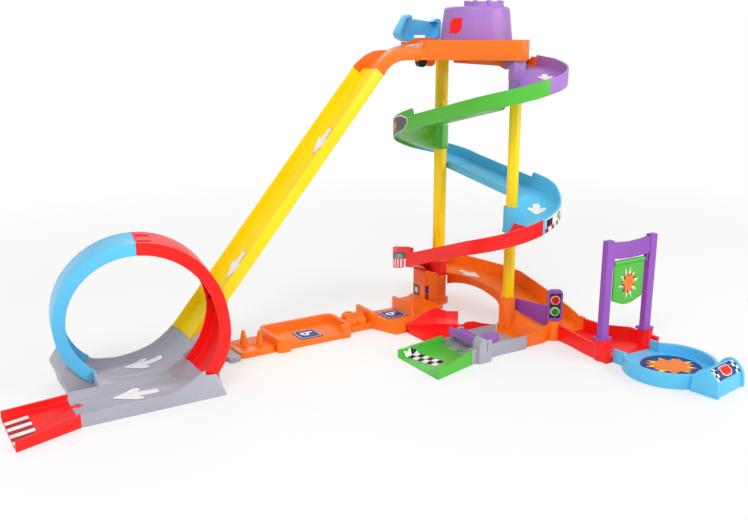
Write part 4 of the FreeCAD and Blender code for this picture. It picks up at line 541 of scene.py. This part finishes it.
def catcher_body():
    """Round dish with a mouth toward the gate and a bumper between two round-topped end plates."""
    shape = bmesh.new()
    gap = math.asin(MOUTH / DISH_OUT)
    wall = [(DISH_IN, 0), (DISH_OUT, 0), (DISH_OUT, DISH_TOP), (DISH_IN, DISH_TOP)]
    rings = []
    for k in range(DISH_STEPS + 1):
        t = math.pi / 2 + gap + (2 * math.pi - 2 * gap) * k / DISH_STEPS
        rings.append([Vector((*dish_point(r, t), z)) * MM for r, z in wall])
    loft(shape, rings)
    under = LANE_Z - DISH_FLOOR
    plate = [dish_point(DISH_IN + 1, 2 * math.pi * k / DISH_STEPS) for k in range(DISH_STEPS)]
    prism(shape, plate, under, LANE_Z)
    back, front = DISH[1] + MOUTH_BACK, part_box("catcher_dish")[1][1] / MM
    left, right = DISH[0] - MOUTH, DISH[0] + MOUTH
    prism(shape, oblong(left, right, back, front), under, LANE_Z - 0.3)
    prism(shape, oblong(left - MOUTH_WALL, left, back, front), 0, DISH_TOP)
    prism(shape, oblong(right, right + MOUTH_WALL, back, front), 0, DISH_TOP)
    for start in (0.0, BUMPER_LONG - PLATE):
        loft(shape, [[bumper_place(p, q, z) for q, z in PROFILE] for p in (start, start + PLATE)])
    overlap = 1
    ends = (PLATE - overlap, BUMPER_LONG - PLATE + overlap)
    loft(shape, [[bumper_place(p, q, z) for q, z in INNER] for p in ends])
    bmesh.ops.recalc_face_normals(shape, faces=shape.faces[:])
    mesh = bpy.data.meshes.new("catcher_body")
    shape.to_mesh(mesh)
    shape.free()
    mesh.materials.append(MATERIALS["blue_plastic"])
    piece = bpy.data.objects.new("catcher_body", mesh)
    bpy.context.scene.collection.objects.link(piece)
    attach(piece, "root")
    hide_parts("catcher_dish")
    soften(piece, 1.6 * MM)


def on_bumper(lift=0.0):
    """Mapping on to the bumper's slope: u along the front, v up the slope from its lower bend."""
    def put(u, v):
        for one, two in zip(LABEL_RUN, LABEL_RUN[1:]):
            length = math.dist(one, two)
            if v <= length or two is LABEL_RUN[-1]:
                share = v / length
                q, z = (a + (b - a) * share for a, b in zip(one, two))
                normal = Vector((-(two[1] - one[1]), two[0] - one[0])).normalized() * (LIFT + lift)
                return bumper_place(u, q + normal.x, z + normal.y)
            v -= length
    return put


def catcher_marks():
    """Generic splash on the dish and a plain checkered label on the bumper."""
    put = onto("catcher_inlay", (90.0, -274.0), -20.0)
    lay("dish_rays", burst(41.0, 20.0, 9, 12.0), put, "yellow", raise_by=0.1, cuts=0, fan=True)
    lay("dish_splash", blob(31.0, 7, 0.3, 0.4, 1.15), put, "orange", raise_by=0.3, cuts=0, fan=True)
    catcher_body()
    edge, low, reach, cell = PLATE + 1, 0.5, 20.5, 5.0
    wide = BUMPER_LONG - 2 * edge
    lay("bumper_field", oblong(edge, edge + wide, low, reach), on_bumper(), "navy", cuts=5)
    for side, start in (("left", edge), ("right", edge + wide - 2 * cell)):
        checker("bumper_" + side, on_bumper(0.2), start, low, cell, (reach - low) / 4, 2, 4)
    mid_u, mid_v = BUMPER_LONG / 2, (low + reach) / 2
    shield = [(-13, 7), (-4, 2.5), (8, 2.5), (14, 8), (11, 18.5), (-12, 18.5)]
    rim = [(mid_u + u, v) for u, v in shield]
    sign = [(mid_u + u * 0.86, mid_v + (v - mid_v) * 0.82) for u, v in shield]
    lay("bumper_sign_edge", rim, on_bumper(0.3), "cream", cuts=4)
    lay("bumper_sign", sign, on_bumper(0.5), "red", cuts=4)


def flag_marks():
    """Generic burst printed on the camera side of the flag."""
    middle = (84.5, -186.3, 116.0)
    layers = (
        ("flag_rays", burst(31.0, 13.0, 10, 8.0, 0.72), 0.0, "cream"),
        ("flag_rays_red", burst(22.0, 12.0, 9, 25.0, 0.78), 0.3, "dark_red"),
        ("flag_splash", blob(16.0, 6, 0.3, 0.2, 0.85), 0.6, "orange"),
    )
    for name, outline, lift, ink in layers:
        put = flat_on(middle, (1, 0, 0), (0, 0, 1), lift)
        lay(name, outline, put, ink, "flag", 0, fan=True)


def signal_marks():
    """Cream rings round the two lamps."""
    turn = math.radians(-36.0)
    across = Vector((math.cos(turn), math.sin(turn), 0))
    out = Vector((math.sin(turn), -math.cos(turn), 0))
    for name, z in (("red", 68.0), ("green", 49.0)):
        post = Vector((39.4, -78.4, z))
        layers = (
            ("lamp_ring_" + name, 7.6, 4.6, "cream"),
            ("lamp_glass_" + name, 4.6, 6.2, "dark_" + name),
        )
        for mark, r, reach, ink in layers:
            put = flat_on(post + out * reach, across, (0, 0, 1))
            lay(mark, disc(r), put, ink, "diverter", 1)


lane_arrows()
end_marks()
parking_marks()
wall_marks()
block_marks()
catcher_marks()
flag_marks()
signal_marks()


def either_ray(tree, one, two):
    """One where a ray is of either kind, and zero otherwise."""
    rays = tree.nodes.new("ShaderNodeLightPath")
    seen = tree.nodes.new("ShaderNodeMath")
    seen.operation = "MAXIMUM"
    tree.links.new(rays.outputs[one], seen.inputs[0])
    tree.links.new(rays.outputs[two], seen.inputs[1])
    return seen.outputs[0]


def build_floor():
    """Pale floor that keeps the object's shadow and turns plain white away from it, with no horizon."""
    reach = 12.0
    fade_near, fade_far = 0.9, 1.7
    white_near, white_far = 0.5, 1.0
    mesh = bpy.data.meshes.new("floor")
    corners = [(-reach, -reach, 0), (reach, -reach, 0), (reach, reach, 0), (-reach, reach, 0)]
    mesh.from_pydata(corners, [], [(0, 1, 2, 3)])
    floor = bpy.data.objects.new("floor", mesh)
    bpy.context.scene.collection.objects.link(floor)
    material, tree, shader, place = node_material("floor")
    shader.inputs["Base Color"].default_value = (0.9, 0.9, 0.9, 1)
    shader.inputs["Roughness"].default_value = 0.6
    glow = tree.nodes.new("ShaderNodeEmission")
    glow.inputs["Color"].default_value = (1, 1, 1, 1)
    seen = either_ray(tree, "Is Camera Ray", "Is Glossy Ray")
    far = tree.nodes.new("ShaderNodeVectorMath")
    far.operation = "LENGTH"
    tree.links.new(place, far.inputs[0])
    fade = tree.nodes.new("ShaderNodeMapRange")
    fade.inputs["From Min"].default_value = fade_near
    fade.inputs["From Max"].default_value = fade_far
    fade.inputs["To Min"].default_value = white_near
    fade.inputs["To Max"].default_value = white_far
    tree.links.new(far.outputs["Value"], fade.inputs["Value"])
    share = tree.nodes.new("ShaderNodeMath")
    share.operation = "MULTIPLY"
    tree.links.new(fade.outputs["Result"], share.inputs[0])
    tree.links.new(seen, share.inputs[1])
    mix = tree.nodes.new("ShaderNodeMixShader")
    tree.links.new(share.outputs[0], mix.inputs["Fac"])
    tree.links.new(shader.outputs["BSDF"], mix.inputs[1])
    tree.links.new(glow.outputs["Emission"], mix.inputs[2])
    tree.links.new(mix.outputs["Shader"], tree.nodes["Material Output"].inputs["Surface"])
    mesh.materials.append(material)


def build_world():
    """White surroundings: plain white to the camera, and a soft even light on the object."""
    light, white = 0.62, 1.0
    world = bpy.data.worlds.new("studio")
    world.use_nodes = True
    tree = world.node_tree
    back = tree.nodes["Background"]
    back.inputs["Color"].default_value = (1, 1, 1, 1)
    level = tree.nodes.new("ShaderNodeMapRange")
    level.inputs["To Min"].default_value = light
    level.inputs["To Max"].default_value = white
    tree.links.new(either_ray(tree, "Is Camera Ray", "Is Transmission Ray"), level.inputs["Value"])
    tree.links.new(level.outputs["Result"], back.inputs["Strength"])
    bpy.context.scene.world = world


def build_lamps():
    """Three soft lamps aimed at the middle of the object."""
    centre = Vector((-0.3, 0.0, 0.2))
    for name, place, size, power in (
        ("key", (-1.9, -1.7, 2.4), 1.5, 46.0),
        ("fill", (1.5, -1.9, 1.3), 1.8, 30.0),
        ("rim", (0.6, 2.4, 2.2), 1.6, 14.0),
    ):
        lamp = bpy.data.lights.new(name, "AREA")
        lamp.size = size
        lamp.energy = power
        thing = bpy.data.objects.new(name, lamp)
        thing.location = place
        thing.rotation_euler = (centre - Vector(place)).to_track_quat("-Z", "Y").to_euler()
        bpy.context.scene.collection.objects.link(thing)


def build_camera():
    """Camera at the photograph's angle."""
    focal_px, frame_px, sensor = 860.0, 748.0, 36.0
    pitch, turn = 14.6, 31.8
    camera = bpy.data.cameras.new("camera")
    camera.sensor_width = sensor
    camera.lens = focal_px / frame_px * sensor
    thing = bpy.data.objects.new("camera", camera)
    thing.location = (-0.9096, -1.0536, 0.480)
    thing.rotation_euler = (math.radians(90 - pitch), 0, math.radians(-turn))
    bpy.context.scene.collection.objects.link(thing)
    bpy.context.scene.camera = thing
    bpy.context.scene.view_settings.view_transform = "Standard"


build_floor()
build_world()
build_lamps()
build_camera()
